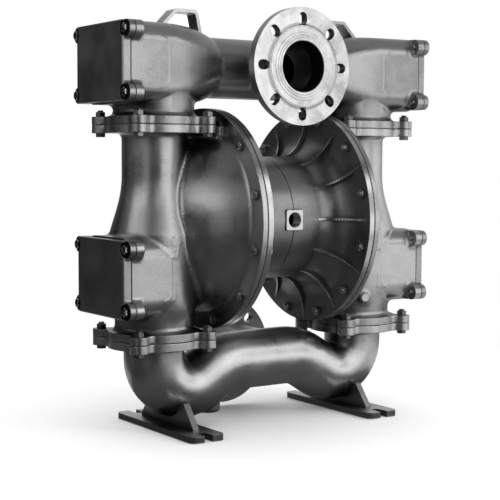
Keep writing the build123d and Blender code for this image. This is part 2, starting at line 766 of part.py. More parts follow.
def cover(z):
    part = plate_x(cover_outline(), COVER_X, COVER_X + COVER_EDGE_T, z)
    centre = plate_x(
        RectangleRounded(2 * COVER_HALF_WIDTH, 2 * COVER_HALF_HEIGHT, COVER_CORNER_R),
        COVER_X, COVER_X + COVER_CENTRE_T, z,
    )
    rim = [e for e in centre.edges() if abs(e.center().X - COVER_X - COVER_CENTRE_T) < 0.01]
    part += fillet(rim, COVER_EDGE_ROUND)
    for y, dz in corners(LOBE_Y, LOBE_Z):
        edge = COVER_X + COVER_EDGE_T
        part -= rod_x(SPOT_FACE_R, edge, edge + COVER_CENTRE_T, y, z + dz)
        part -= rod_x(COVER_BOLT_R + HOLE_GAP, COVER_X, edge, y, z + dz)
    return part


def drain_plug():
    low = DRAIN_BOSS_Z + DRAIN_SINK
    part = rod_z(DRAIN_PLUG_R, low, DRAIN_BOSS_Z + DRAIN_PLUG_DEPTH, DRAIN_X)
    socket = RegularPolygon(DRAIN_SOCKET_AF / 2, 6, major_radius=False)
    return part - plate_z(socket, low, low + DRAIN_SOCKET_DEPTH, DRAIN_X)


def cover_gasket(z):
    part = plate_x(cover_outline(GASKET_INSET), COVER_FACE_X, COVER_X, z)
    part -= plate_x(box_section(WALL), COVER_FACE_X, COVER_X, z)
    for y, dz in corners(LOBE_Y, LOBE_Z):
        part -= rod_x(COVER_BOLT_R + HOLE_GAP, COVER_FACE_X, COVER_X, y, z + dz)
    return part


def joint_gasket(z):
    part = plate_z(joint_outline(JOINT_GASKET_INSET), z - HALF_JOINT, z + HALF_JOINT)
    part -= rod_z(CORE_R, z - HALF_JOINT, z + HALF_JOINT)
    part -= joint_holes(z - HALF_JOINT, z + HALF_JOINT)
    return part


def o_ring_groove(z, gap):
    top = z + SEAT_TOP
    ring = rod_z(O_RING_R + O_RING_W / 2 + gap, top - O_RING_H, top)
    ring -= rod_z(O_RING_R - O_RING_W / 2 - gap, top - O_RING_H, top)
    return ring


def valve_seat(z):
    part = rod_z(SEAT_R, z + SEAT_BASE, z + SEAT_TOP)
    part -= rod_z(SEAT_BORE_R, z + SEAT_BASE, z + SEAT_TOP)
    part -= Pos(LEG_X, 0, z + BALL_REST) * Sphere(BALL_R + BALL_GAP)
    part -= o_ring_groove(z, O_RING_FIT)
    return part


def foot():
    shape = RectangleRounded(2 * FOOT_HALF_WIDTH, 2 * FOOT_HALF_LENGTH, FOOT_CORNER_R)
    for side in (-1, 1):
        inner = FOOT_HALF_LENGTH - FOOT_NOTCH_DEPTH + FOOT_NOTCH_W / 2
        shape -= Pos(0, side * inner) * Circle(FOOT_NOTCH_W / 2)
        shape -= Pos(0, side * (inner + FOOT_NOTCH_DEPTH / 2)) * Rectangle(FOOT_NOTCH_W, FOOT_NOTCH_DEPTH)
    part = plate_z(shape, 0, FOOT_T, FOOT_X)
    web = outline(
        (-WEB_BASE_Y, FOOT_T), (WEB_BASE_Y, FOOT_T), (WEB_BASE_Y, WEB_TOE_Z), (WEB_TOP_Y, WEB_TOP_Z),
        (-WEB_TOP_Y, WEB_TOP_Z), (-WEB_BASE_Y, WEB_TOE_Z),
    )
    part += plate_x(web, WEB_X - WEB_T / 2, WEB_X + WEB_T / 2, 0)
    return part - inlet_tube(PIPE_R + WELD_GAP)


def lifting_strap():
    half = STRAP_T / 2
    middle = FilletPolyline(
        (STRAP_FOOT_X, STRAP_FOOT_Z), (STRAP_SHOULDER_X, STRAP_TOP_Z), (STRAP_CORNER_X, STRAP_TOP_Z),
        (STRAP_TOE_X, STRAP_TOE_Z), radius=STRAP_BEND_R,
    )
    bar = trace(middle, STRAP_T)
    part = extrude(Plane.XZ * bar, STRAP_W / 2, both=True)
    solid = taper(-WELD_GAP) + plate_x(box_section(-WELD_GAP), BOX_CREASE_X, COVER_FACE_X, DISCHARGE_Z)
    return part - solid


# Drive

def shaft_bush():
    inner = BLOCK_HALF_LENGTH - BUSH_LENGTH
    return rod_x(BUSH_R, inner, BLOCK_HALF_LENGTH) - rod_x(SHAFT_R + SHAFT_FIT, inner, BLOCK_HALF_LENGTH)


def shaft_seal():
    start = BLOCK_HALF_LENGTH + BLOCK_FIT
    part = rod_x(HUB_BORE_R - SHAFT_FIT, start, start + SHAFT_SEAL_T)
    return part - rod_x(SHAFT_R + SHAFT_FIT, start, start + SHAFT_SEAL_T)


def diaphragm_shaft():
    end = INNER_PLATE_FACE_X
    part = rod_x(SHAFT_R, -end, end)
    part += rod_x(SHAFT_STUD_R, -end - STUD_LENGTH, end + STUD_LENGTH)
    return part


def inner_plate():
    face = INNER_PLATE_FACE_X
    part = rod_x(INNER_PLATE_R, face + INNER_PLATE_HUB_T, DIAPHRAGM_IN_X)
    part += rod_x(INNER_PLATE_HUB_R, face, face + INNER_PLATE_HUB_T)
    return part - rod_x(SHAFT_STUD_R + STUD_HOLE_FIT, face, DIAPHRAGM_IN_X)


def outer_plate():
    base = DIAPHRAGM_OUT_X
    top = base + OUTER_PLATE_T
    edge = base + OUTER_PLATE_EDGE_T
    rise = top - edge
    crown_r = (OUTER_PLATE_R**2 + rise**2) / (2 * rise)
    half_turn = asin(OUTER_PLATE_R / crown_r) / 2
    middle = (top - crown_r + crown_r * cos(half_turn), crown_r * sin(half_turn))
    arc = ThreePointArc((edge, OUTER_PLATE_R), middle, (top, 0))
    lines = Polyline((top, 0), (base, 0), (base, OUTER_PLATE_R), (edge, OUTER_PLATE_R))
    part = turned_x(make_face(arc + lines))
    depth = INNER_PLATE_FACE_X + STUD_LENGTH + THREAD_GAP
    return part - rod_x(SHAFT_STUD_R + STUD_HOLE_FIT, base, depth)


def diaphragm():
    inner = DIAPHRAGM_IN_X
    outer = DIAPHRAGM_OUT_X
    middle = (CONVOLUTION_INNER_R + CONVOLUTION_OUTER_R) / 2
    edge = CHAMBER_OPENING_R - EDGE_FIT
    hole = SHAFT_STUD_R + STUD_HOLE_FIT
    over = ThreePointArc(
        (outer, CONVOLUTION_INNER_R), (outer + CONVOLUTION_RISE, middle), (outer, CONVOLUTION_OUTER_R)
    )
    rim = Polyline(
        (outer, CONVOLUTION_OUTER_R), (outer, edge), (LIQUID_FACE_X, edge),
        (LIQUID_FACE_X, RING_R - EDGE_INSET),
        (AIR_FACE_X, RING_R - EDGE_INSET), (AIR_FACE_X, edge), (inner, edge), (inner, CONVOLUTION_OUTER_R),
    )
    under = ThreePointArc(
        (inner, CONVOLUTION_OUTER_R), (inner + CONVOLUTION_RISE, middle), (inner, CONVOLUTION_INNER_R)
    )
    centre = Polyline(
        (inner, CONVOLUTION_INNER_R), (inner, hole), (outer, hole), (outer, CONVOLUTION_INNER_R)
    )
    part = turned_x(make_face(over + rim + under + centre))
    return part - ring_holes(AIR_FACE_X, LIQUID_FACE_X, CHAMBER_BOLT_R + HOLE_GAP)


def pilot_rod():
    return rod_x(PILOT_R, -PILOT_HALF_LENGTH, PILOT_HALF_LENGTH, PILOT_Y)


def pilot_bush():
    inner = BLOCK_HALF_LENGTH - PILOT_BUSH_LENGTH
    part = rod_x(PILOT_BUSH_R, inner, BLOCK_HALF_LENGTH, PILOT_Y)
    return part - rod_x(PILOT_R + PILOT_FIT, inner, BLOCK_HALF_LENGTH, PILOT_Y)


# Air valve

def air_valve_body():
    part = block(
        -PAD_HALF_X, PAD_HALF_X, VALVE_BASE_Y, VALVE_BACK_Y, SHAFT_Z - PAD_HALF_Z, SHAFT_Z + PAD_HALF_Z
    )
    part = fillet(part.edges().filter_by(Axis.Y), BOSS_CORNER_R)
    part -= rod_x(VALVE_BORE_R, -PAD_HALF_X, PAD_HALF_X, VALVE_AXIS_Y)
    part -= rod_y(SUPPLY_R, VALVE_BACK_Y - SUPPLY_DEPTH, VALVE_BACK_Y)
    part -= rod_y(VALVE_PORT_R, VALVE_AXIS_Y, VALVE_BACK_Y)
    for x in (-AIR_PASSAGE_X, 0, AIR_PASSAGE_X):
        part -= rod_y(VALVE_PORT_R, VALVE_BASE_Y, VALVE_AXIS_Y, x)
    for x, z in corners(VALVE_BOLT_X, VALVE_BOLT_Z):
        part -= rod_y(SMALL_BOLT_R + HOLE_GAP, VALVE_BASE_Y, VALVE_BACK_Y, x, SHAFT_Z + z)
    depth = CAP_THREAD_DEPTH + THREAD_END
    for y, z in cap_points():
        part -= both(rod_x(CAP_BOLT_R + THREAD_GAP, PAD_HALF_X - depth, PAD_HALF_X, y, z))
    return part


def cap_points():
    offsets = corners(CAP_BOLT_OFFSET, CAP_BOLT_OFFSET)
    return [(VALVE_AXIS_Y + y, SHAFT_Z + z) for y, z in offsets]


def air_valve_gasket():
    part = block(
        -PAD_HALF_X, PAD_HALF_X, PAD_FACE_Y, VALVE_BASE_Y, SHAFT_Z - PAD_HALF_Z, SHAFT_Z + PAD_HALF_Z
    )
    for x in (-AIR_PASSAGE_X, 0, AIR_PASSAGE_X):
        part -= rod_y(VALVE_PORT_R, PAD_FACE_Y, VALVE_BASE_Y, x)
    for x, z in corners(VALVE_BOLT_X, VALVE_BOLT_Z):
        part -= rod_y(SMALL_BOLT_R + HOLE_GAP, PAD_FACE_Y, VALVE_BASE_Y, x, SHAFT_Z + z)
    return part


def air_valve_sleeve():
    part = rod_x(VALVE_BORE_R - SHAFT_FIT, -PAD_HALF_X, PAD_HALF_X, VALVE_AXIS_Y)
    part -= rod_x(SLEEVE_R, -PAD_HALF_X, PAD_HALF_X, VALVE_AXIS_Y)
    for x in (-AIR_PASSAGE_X, 0, AIR_PASSAGE_X):
        part -= rod_y(VALVE_PORT_R, VALVE_BASE_Y, VALVE_AXIS_Y, x)
    part -= rod_y(VALVE_PORT_R, VALVE_AXIS_Y, VALVE_BACK_Y)
    return part


def spool_starts():
    """Left end of each land of the spool, in its rest place."""
    pitch = (SPOOL_LENGTH - LAND_LENGTH) / (LAND_COUNT - 1)
    return [SPOOL_END_GAP - PAD_HALF_X + i * pitch for i in range(LAND_COUNT)]


def air_valve_spool():
    starts = spool_starts()
    part = rod_x(SPOOL_STEM_R, starts[0], starts[-1] + LAND_LENGTH, VALVE_AXIS_Y)
    for start in starts:
        land = rod_x(SPOOL_LAND_R, start, start + LAND_LENGTH, VALVE_AXIS_Y)
        part += land - spool_seal(start, 0)
    return part


def spool_seal(start, gap):
    middle = start + LAND_LENGTH / 2
    x0 = middle - SPOOL_SEAL_W / 2 + gap
    x1 = middle + SPOOL_SEAL_W / 2 - gap
    ring = rod_x(SPOOL_LAND_R, x0, x1, VALVE_AXIS_Y)
    return ring - rod_x(SPOOL_LAND_R - SPOOL_SEAL_DEPTH + gap, x0, x1, VALVE_AXIS_Y)


def valve_cap():
    part = block(
        PAD_HALF_X, PAD_HALF_X + VALVE_CAP_T, VALVE_BASE_Y + CAP_INSET, VALVE_BACK_Y - CAP_INSET,
        SHAFT_Z - PAD_HALF_Z + CAP_INSET, SHAFT_Z + PAD_HALF_Z - CAP_INSET,
    )
    part = fillet(part.edges().filter_by(Axis.X), BOSS_CORNER_R)
    for y, z in cap_points():
        part -= rod_x(CAP_BOLT_R + HOLE_GAP, PAD_HALF_X, PAD_HALF_X + VALVE_CAP_T, y, z)
    return part


# Fasteners

def earth_screw():
    face = Vector(*earth_point(EARTH_FACE_R))
    one = bolt(COVER_BOLT_R, COVER_BOLT_AF, COVER_HEAD_H, EARTH_DEPTH)
    return placed(one, face, face - Vector(*earth_point(0)))


def hex_block(across_flats, height, bore=0.0):
    """Hexagon with chamfered corners, standing on the origin along Z."""
    head = extrude(RegularPolygon(across_flats / 2, 6, major_radius=False), height)
    corner = across_flats / 2 / cos(radians(30))
    cut = HEAD_CHAMFER * across_flats
    barrel = extrude(Circle(corner), height)
    head &= chamfer(barrel.faces().sort_by(Axis.Z)[-1].edges(), cut / 2, cut)
    if bore:
        head -= extrude(Circle(bore), height)
    return head


def bolt(radius, across_flats, head_height, length):
    """Hexagon bolt with its head above the origin and its shank below."""
    return hex_block(across_flats, head_height) + extrude(Circle(radius), -length)


def placed(part, point, direction):
    return Plane(Vector(*point), z_dir=direction).location * part


def cover_bolts():
    shank = COVER_EDGE_T + GASKET_T + COVER_FLANGE_T + COVER_BOLT_END
    one = bolt(COVER_BOLT_R, COVER_BOLT_AF, COVER_HEAD_H, shank)
    found = []
    for z in (DISCHARGE_Z, LOWER_BOX_Z):
        for y, dz in corners(LOBE_Y, LOBE_Z):
            found += both(placed(one, (COVER_X + COVER_EDGE_T, y, z + dz), (1, 0, 0)))
    return group(found)


def joint_fasteners():
    grip = 2 * JOINT_FLANGE_T + JOINT_GASKET_T
    one_bolt = bolt(JOINT_BOLT_R, JOINT_BOLT_AF, JOINT_HEAD_H, grip + JOINT_NUT_H + THREAD_END)
    one_nut = hex_block(JOINT_BOLT_AF, JOINT_NUT_H, JOINT_BOLT_R + THREAD_GAP)
    bolts = []
    nuts = []
    for z in (UPPER_JOINT_Z, LOWER_JOINT_Z):
        for x, y in corners(JOINT_LUG, JOINT_LUG):
            bolts += both(placed(one_bolt, (LEG_X + x, y, z - grip / 2), (0, 0, -1)))
            nuts += both(placed(one_nut, (LEG_X + x, y, z + grip / 2), (0, 0, 1)))
    return group(bolts), group(nuts)


def chamber_fasteners():
    grip = RING_OUT_X - RING_IN_X
    one_bolt = bolt(CHAMBER_BOLT_R, CHAMBER_BOLT_AF, CHAMBER_HEAD_H, grip + CHAMBER_NUT_H + THREAD_END)
    one_nut = hex_block(CHAMBER_BOLT_AF, CHAMBER_NUT_H, CHAMBER_BOLT_R + THREAD_GAP)
    bolts = []
    nuts = []
    for y, z in round_points(RING_BOLT_COUNT, RING_BOLT_PCD / 2, 180 / RING_BOLT_COUNT):
        bolts += both(placed(one_bolt, (RING_OUT_X, y, SHAFT_Z + z), (1, 0, 0)))
        nuts += both(placed(one_nut, (RING_IN_X, y, SHAFT_Z + z), (-1, 0, 0)))
    return group(bolts), group(nuts)


def air_valve_bolts():
    one = bolt(SMALL_BOLT_R, SMALL_BOLT_AF, SMALL_HEAD_H, VALVE_DEPTH + VALVE_GASKET_T + SMALL_THREAD_DEPTH)
    return group(
        placed(one, (x, VALVE_BACK_Y, SHAFT_Z + z), (0, 1, 0))
        for x, z in corners(VALVE_BOLT_X, VALVE_BOLT_Z)
    )


def valve_cap_bolts():
    one = bolt(CAP_BOLT_R, CAP_BOLT_AF, CAP_HEAD_H, VALVE_CAP_T + CAP_THREAD_DEPTH)
    found = []
    for y, z in cap_points():
        found += both(placed(one, (PAD_HALF_X + VALVE_CAP_T, y, z), (1, 0, 0)))
    return group(found)


def build():
    os.makedirs("parts", exist_ok=True)
    save("discharge_manifold", discharge_manifold())
    save("inlet_manifold", inlet_manifold())
    save("centre_block", centre_block())
    chamber = liquid_chamber()
    save("left_liquid_chamber", left(chamber))
    save("right_liquid_chamber", with_earth_boss(chamber))
    pairs = {
        "air_chamber": air_chamber(),
        "discharge_cover": cover(DISCHARGE_Z),
        "inlet_cover": cover(LOWER_BOX_Z),
        "discharge_seat": valve_seat(UPPER_JOINT_Z),
        "inlet_seat": valve_seat(LOWER_JOINT_Z),
        "discharge_ball": Pos(LEG_X, 0, UPPER_JOINT_Z + BALL_REST) * Sphere(BALL_R),
        "inlet_ball": Pos(LEG_X, 0, LOWER_JOINT_Z + BALL_REST) * Sphere(BALL_R),
        "foot": foot(),
        "lifting_strap": lifting_strap(),
        "shaft_bush": shaft_bush(),
        "inner_plate": inner_plate(),
        "outer_plate": outer_plate(),
        "diaphragm": diaphragm(),
        "valve_cap": valve_cap(),
    }
    for name, part in pairs.items():
        save(f"right_{name}", part)
        save(f"left_{name}", left(part))
    save("cover_gaskets", group(both(cover_gasket(DISCHARGE_Z)) + both(cover_gasket(LOWER_BOX_Z))))
    save("joint_gaskets", group(both(joint_gasket(UPPER_JOINT_Z)) + both(joint_gasket(LOWER_JOINT_Z))))
    save("seat_o_rings", group(both(o_ring_groove(UPPER_JOINT_Z, 0)) + both(o_ring_groove(LOWER_JOINT_Z, 0))))
    save("drain_plug", drain_plug())
    save("earth_screw", earth_screw())
    save("shaft_seals", group(both(shaft_seal())))
    save("diaphragm_shaft", diaphragm_shaft())
    save("pilot_rod", pilot_rod())
    save("pilot_bushes", group(both(pilot_bush())))
    save("air_valve_body", air_valve_body())
    save("air_valve_gasket", air_valve_gasket())
    save("air_valve_sleeve", air_valve_sleeve())
    save("air_valve_spool", air_valve_spool())
    save("spool_seals", group(spool_seal(start, SHAFT_FIT) for start in spool_starts()))
    save("air_valve_bolts", air_valve_bolts())
    save("valve_cap_bolts", valve_cap_bolts())
    save("cover_bolts", cover_bolts())
    joint_bolts, joint_nuts = joint_fasteners()
    save("joint_bolts", joint_bolts)
    save("joint_nuts", joint_nuts)
    chamber_bolts, chamber_nuts = chamber_fasteners()
    save("chamber_bolts", chamber_bolts)
    save("chamber_nuts", chamber_nuts)


build()
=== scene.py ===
"""Air operated diaphragm pump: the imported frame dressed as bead-blasted castings, turned steel and rubber."""

import json
import math

import bmesh
import bpy
import numpy as np
import openvdb
from mathutils import Matrix, Vector
from mathutils.bvhtree import BVHTree


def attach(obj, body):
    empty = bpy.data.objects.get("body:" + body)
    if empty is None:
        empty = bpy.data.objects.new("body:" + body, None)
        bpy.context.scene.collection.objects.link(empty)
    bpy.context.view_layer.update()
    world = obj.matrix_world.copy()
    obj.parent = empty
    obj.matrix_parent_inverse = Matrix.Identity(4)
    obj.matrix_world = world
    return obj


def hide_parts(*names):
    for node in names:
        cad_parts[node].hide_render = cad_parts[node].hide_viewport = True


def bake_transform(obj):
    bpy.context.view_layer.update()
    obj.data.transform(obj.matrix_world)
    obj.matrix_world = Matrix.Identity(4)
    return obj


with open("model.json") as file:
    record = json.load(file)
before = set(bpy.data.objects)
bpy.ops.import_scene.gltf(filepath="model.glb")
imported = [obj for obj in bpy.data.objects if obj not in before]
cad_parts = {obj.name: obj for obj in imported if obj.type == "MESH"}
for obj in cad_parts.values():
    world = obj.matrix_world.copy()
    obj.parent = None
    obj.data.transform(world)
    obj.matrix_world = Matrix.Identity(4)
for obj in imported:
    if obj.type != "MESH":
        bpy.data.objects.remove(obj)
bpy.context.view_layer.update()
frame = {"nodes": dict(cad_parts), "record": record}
nodes = frame["nodes"]
record = frame["record"]

MM = 0.001
SAME = 2e-6             # corners nearer than this are one corner
CREASE = 34             # degrees at which a curve ends in an edge

# places on the CAD, in metres
SHAFT_Z = 0.415         # the shaft, on the axis of the chambers' rings
DISCHARGE_Z = 0.715     # the axis of the discharge port
SUCTION_Z = 0.1245      # the axis of the suction port
PORT_FACE_Y = 0.1524    # the ports' sealing faces
FLANGE_FACE_Y = 0.1504  # the flanges behind them
BORE_SKIN_Y = 0.056     # from here out, a port's bore keeps its casting skin
BLOCK_FACE_Y = -0.1275  # the boss of the air exhaust
RING_RIM_R = 0.2185     # outside this, a chamber's ring shows its turned rim
RIB_X = (0.052, 0.118)  # an air chamber's ribs, from and to
COVER_BOLT_Y = 0.097
COVER_BOLT_Z = (0.657, 0.773, 0.251, 0.367)
COVER_SPOT_R = 0.0149   # the sunk faces that the covers' bolts sit on
RIB_TURN = math.pi / 6  # from one rib of an air chamber to the next


# Colours and the one node maker

def linear(code):
    """sRGB hex to the linear colour that Blender reads."""
    parts = [int(code[i:i + 2], 16) / 255 for i in (1, 3, 5)]
    parts = [c / 12.92 if c <= 0.04045 else ((c + 0.055) / 1.055) ** 2.4 for c in parts]
    return (*parts, 1.0)


def add(tree, kind, feeds=None, **settings):
    """One node: its settings, then what feeds each socket, a value or another node's output."""
    node = tree.nodes.new(kind)
    for name, value in settings.items():
        setattr(node, name, value)
    for socket, value in (feeds or {}).items():
        if isinstance(value, bpy.types.NodeSocket):
            tree.links.new(value, node.inputs[socket])
        else:
            node.inputs[socket].default_value = value
    return node


def place_object(name, data):
    piece = bpy.data.objects.new(name, data)
    bpy.context.scene.collection.objects.link(piece)
    return piece


def blank_material(name):
    material = bpy.data.materials.new(name)
    material.use_nodes = True
    material.node_tree.nodes.clear()
    return material, material.node_tree


def close_material(tree, shader):
    add(tree, "ShaderNodeOutputMaterial", {"Surface": shader.outputs[0]})


# Materials

def cast_surface(name, colour, metallic, roughness, grit, grit_depth, patch, edge_round):
    """A blasted casting: grit dimples, faint patches, soft edges, and painted shade that darkens its recesses.
    """
    material, tree = blank_material(name)
    place = add(tree, "ShaderNodeTexCoord").outputs["Object"]
    grain = add(tree, "ShaderNodeTexNoise", {
        "Vector": place, "Scale": 1 / (grit * MM), "Detail": 3.0, "Roughness": 0.6})
    cloud = add(tree, "ShaderNodeTexNoise", {
        "Vector": place, "Scale": 1 / (patch * MM), "Detail": 4.0, "Roughness": 0.55})
    waves = add(tree, "ShaderNodeTexNoise", {"Vector": place, "Scale": 1 / (22 * MM), "Detail": 1.0})
    dark, light = (tuple(c * f for c in linear(colour)[:3]) + (1.0,) for f in (0.80, 1.16))
    tone = add(tree, "ShaderNodeMix", {
        "Factor": cloud.outputs["Fac"], "A": dark, "B": light}, data_type="RGBA")
    speck = add(tree, "ShaderNodeMapRange", {
        "Value": grain.outputs["Fac"], "From Min": 0.3, "From Max": 0.7, "To Min": 0.8, "To Max": 1.12})
    # painted shade: the base colour darkens where the casting's own shape hides the open sky, in corners and
    # recesses
    reach = add(tree, "ShaderNodeAmbientOcclusion", {"Distance": 80 * MM}, samples=8)
    painted_recess_shade = add(tree, "ShaderNodeMapRange", {
        "Value": reach.outputs["AO"], "From Min": 0.3, "From Max": 0.95, "To Min": 0.3, "To Max": 1.06})
    both = add(tree, "ShaderNodeMath", {0: speck.outputs[0], 1: painted_recess_shade.outputs[0]}, operation="MULTIPLY")
    hue = add(tree, "ShaderNodeVectorMath", {0: tone.outputs[2], "Scale": both.outputs[0]}, operation="SCALE")
    gloss = add(tree, "ShaderNodeMapRange", {
        "Value": cloud.outputs["Fac"], "From Min": 0.3, "From Max": 0.7, "To Min": roughness - 0.05,
        "To Max": roughness + 0.06})
    soft = add(tree, "ShaderNodeBevel", {"Radius": edge_round * MM}, samples=6)
    slow = add(tree, "ShaderNodeBump", {
        "Height": waves.outputs["Fac"], "Normal": soft.outputs[0], "Strength": 0.5, "Distance": 0.0008})
    bump = add(tree, "ShaderNodeBump", {
        "Height": grain.outputs["Fac"], "Normal": slow.outputs[0], "Strength": 0.6,
        "Distance": grit_depth * MM})
    shader = add(tree, "ShaderNodeBsdfPrincipled", {
        "Base Color": hue.outputs[0], "Metallic": metallic, "Roughness": gloss.outputs[0],
        "Normal": bump.outputs[0]})
    close_material(tree, shader)
    return material


def turned_surface(name, colour, roughness, centre):
    """A face cut on a lathe, then polished: streaks that run round its axis."""
    material, tree = blank_material(name)
    place = add(tree, "ShaderNodeTexCoord").outputs["Object"]
    moved = add(tree, "ShaderNodeVectorMath", {0: place, 1: centre}, operation="SUBTRACT")
    flat = add(tree, "ShaderNodeVectorMath", {0: moved.outputs[0], 1: (1.0, 0.0, 1.0)}, operation="MULTIPLY")
    far = add(tree, "ShaderNodeVectorMath", {0: flat.outputs[0]}, operation="LENGTH").outputs["Value"]
    axes = add(tree, "ShaderNodeSeparateXYZ", {0: moved.outputs[0]})
    angle = add(tree, "ShaderNodeMath", {0: axes.outputs["Z"], 1: axes.outputs["X"]}, operation="ARCTAN2")
    wound = add(tree, "ShaderNodeMath", {0: far, 1: 1 / (2.2 * MM)}, operation="MULTIPLY")
    spiral = add(tree, "ShaderNodeCombineXYZ", {"X": wound.outputs[0], "Y": angle.outputs[0]})
    streak = add(tree, "ShaderNodeTexNoise", {
        "Vector": spiral.outputs[0], "Scale": 1.0, "Detail": 3.0, "Roughness": 0.7}).outputs["Fac"]
    blotch = add(tree, "ShaderNodeTexNoise", {
        "Vector": place, "Scale": 1 / (28 * MM), "Detail": 3.0, "Roughness": 0.6}).outputs["Fac"]
    shade = add(tree, "ShaderNodeMapRange", {
        "Value": streak, "From Min": 0.3, "From Max": 0.7, "To Min": 0.84, "To Max": 1.04})
    worn = add(tree, "ShaderNodeMapRange", {
        "Value": blotch, "From Min": 0.35, "From Max": 0.65, "To Min": 0.86, "To Max": 1.04})
    tone = add(tree, "ShaderNodeMath", {0: shade.outputs[0], 1: worn.outputs[0]}, operation="MULTIPLY")
    hue = add(tree, "ShaderNodeVectorMath", {
        0: linear(colour)[:3], "Scale": tone.outputs[0]}, operation="SCALE")
    gloss = add(tree, "ShaderNodeMapRange", {
        "Value": blotch, "From Min": 0.35, "From Max": 0.65, "To Min": roughness - 0.04,
        "To Max": roughness + 0.08})
    soft = add(tree, "ShaderNodeBevel", {"Radius": 1.0 * MM}, samples=4)
    bump = add(tree, "ShaderNodeBump", {
        "Height": streak, "Normal": soft.outputs[0], "Strength": 0.5, "Distance": 0.0003})
    shader = add(tree, "ShaderNodeBsdfPrincipled", {
        "Base Color": hue.outputs[0], "Metallic": 1.0, "Roughness": gloss.outputs[0],
        "Normal": bump.outputs[0]})
    close_material(tree, shader)
    return material


def plain_surface(name, colour, metallic, roughness, grain_mm, depth_mm, edge_round, stretch=(1.0, 1.0, 1.0)):
    """Drawn, rolled or moulded stock: one grain, stretched along the way it was worked."""
    material, tree = blank_material(name)
    place = add(tree, "ShaderNodeTexCoord").outputs["Object"]
    drawn = add(tree, "ShaderNodeMapping", {"Vector": place, "Scale": stretch})
    grain = add(tree, "ShaderNodeTexNoise", {
        "Vector": drawn.outputs[0], "Scale": 1 / (grain_mm * MM), "Detail": 4.0, "Roughness": 0.6})
    gloss = add(tree, "ShaderNodeMapRange", {
        "Value": grain.outputs["Fac"], "From Min": 0.3, "From Max": 0.7, "To Min": roughness - 0.05,
        "To Max": roughness + 0.07})
    shade = add(tree, "ShaderNodeMapRange", {
        "Value": grain.outputs["Fac"], "From Min": 0.3, "From Max": 0.7, "To Min": 0.88, "To Max": 1.06})
    hue = add(tree, "ShaderNodeVectorMath", {
        0: linear(colour)[:3], "Scale": shade.outputs[0]}, operation="SCALE")
    soft = add(tree, "ShaderNodeBevel", {"Radius": edge_round * MM}, samples=4)
    bump = add(tree, "ShaderNodeBump", {
        "Height": grain.outputs["Fac"], "Normal": soft.outputs[0], "Strength": 0.5,
        "Distance": depth_mm * MM})
    shader = add(tree, "ShaderNodeBsdfPrincipled", {
        "Base Color": hue.outputs[0], "Metallic": metallic, "Roughness": gloss.outputs[0],
        "Normal": bump.outputs[0]})
    close_material(tree, shader)
    return material


# CF8M stainless castings, glass-bead blasted: grey and satin, with grit drawn at 1.6 mm instead of 0.3 mm.
# Their greys differ as painted light and shade: the inlet's grey is a lit copy of the one steel, and the
# discharge's, the covers' and the feet's are shaded copies.
blasted_stainless = cast_surface("BlastedCastStainless", "#C8C8C8", 1.0, 0.30, 1.6, 0.12, 60, 2.2)
shaded_discharge_stainless = cast_surface("ShadedDischargeStainless", "#B6B6B6", 1.0, 0.30, 1.6, 0.12, 60, 2.2)
lit_inlet_stainless = cast_surface("LitInletStainless", "#DEDEDE", 1.0, 0.30, 1.6, 0.12, 60, 2.2)
shaded_cover_stainless = cast_surface("ShadedCoverStainless", "#B1B1B1", 1.0, 0.34, 1.8, 0.12, 70, 1.8)
foot_stainless = cast_surface("BlastedFootStainless", "#C0C0C0", 1.0, 0.34, 1.8, 0.2, 40, 1.4)
# the inside of a casting keeps its dull grey-black skin; the same near black is painted shade in the covers'
# sunk bolt faces
skin_and_painted_shade = cast_surface("CastingSkinAndPaintedShade", "#2E2D2C", 1.0, 0.62, 3.0, 0.5, 30, 1.0)
# anodised aluminium of the air chambers: darker than the steel, and smoother
air_aluminium = cast_surface("AnodisedCastAluminium", "#A1A1A1", 1.0, 0.34, 2.0, 0.08, 50, 1.6)
valve_aluminium = cast_surface("DieCastAluminium", "#A0A0A1", 1.0, 0.40, 1.6, 0.1, 50, 1.2)
# turned and polished stainless: bright, with streaks left by the lathe
discharge_turned = turned_surface("TurnedStainlessDischarge", "#F8F8F8", 0.30, (0.0, 0.0, DISCHARGE_Z))
suction_turned = turned_surface("TurnedStainlessSuction", "#F8F8F8", 0.30, (0.0, 0.0, SUCTION_Z))
# milled rims and faces: bright, with a fine grain; on the air chambers' rib edges the same grey is a painted
# highlight
milled_rim_and_ridge_highlight = plain_surface("MilledRimAndRidgeHighlight", "#E2E2E2", 1.0, 0.22, 1.2, 0.03, 0.8)
# cold-rolled stainless bar of the straps, brushed along its length
brushed_bar = plain_surface("BrushedStainlessBar", "#D9D9D9", 1.0, 0.26, 1.6, 0.06, 0.8, (1.0, 0.25, 1.0))
# A2 stainless fasteners: smooth and bright
fastener_steel = plain_surface("FastenerStainless", "#D2D2D2", 1.0, 0.16, 3.0, 0.05, 0.5)
# the joints' bolts and nuts are a darker, duller copy of the fastener steel: the darker grey is painted shade
shaded_fastener_steel = plain_surface("ShadedFastenerSteel", "#8A8A8A", 1.0, 0.24, 3.0, 0.05, 0.5)
# ground stainless bar of the shaft and the valve parts
ground_steel = plain_surface("GroundStainless", "#CBCBCB", 1.0, 0.18, 2.0, 0.02, 0.5)
# EPDM rubber: near black, without gloss
epdm_rubber = plain_surface("MouldedRubber", "#1B1B1C", 0.0, 0.62, 1.5, 0.15, 0.6)
# PTFE-faced balls: waxy white
valve_ball_white = plain_surface("MouldedBallWhite", "#E3E0D6", 0.0, 0.38, 4.0, 0.05, 0.5)
# leaded bronze bushes
bearing_bronze = plain_surface("TurnedBronze", "#A67C45", 1.0, 0.28, 1.5, 0.05, 0.5)

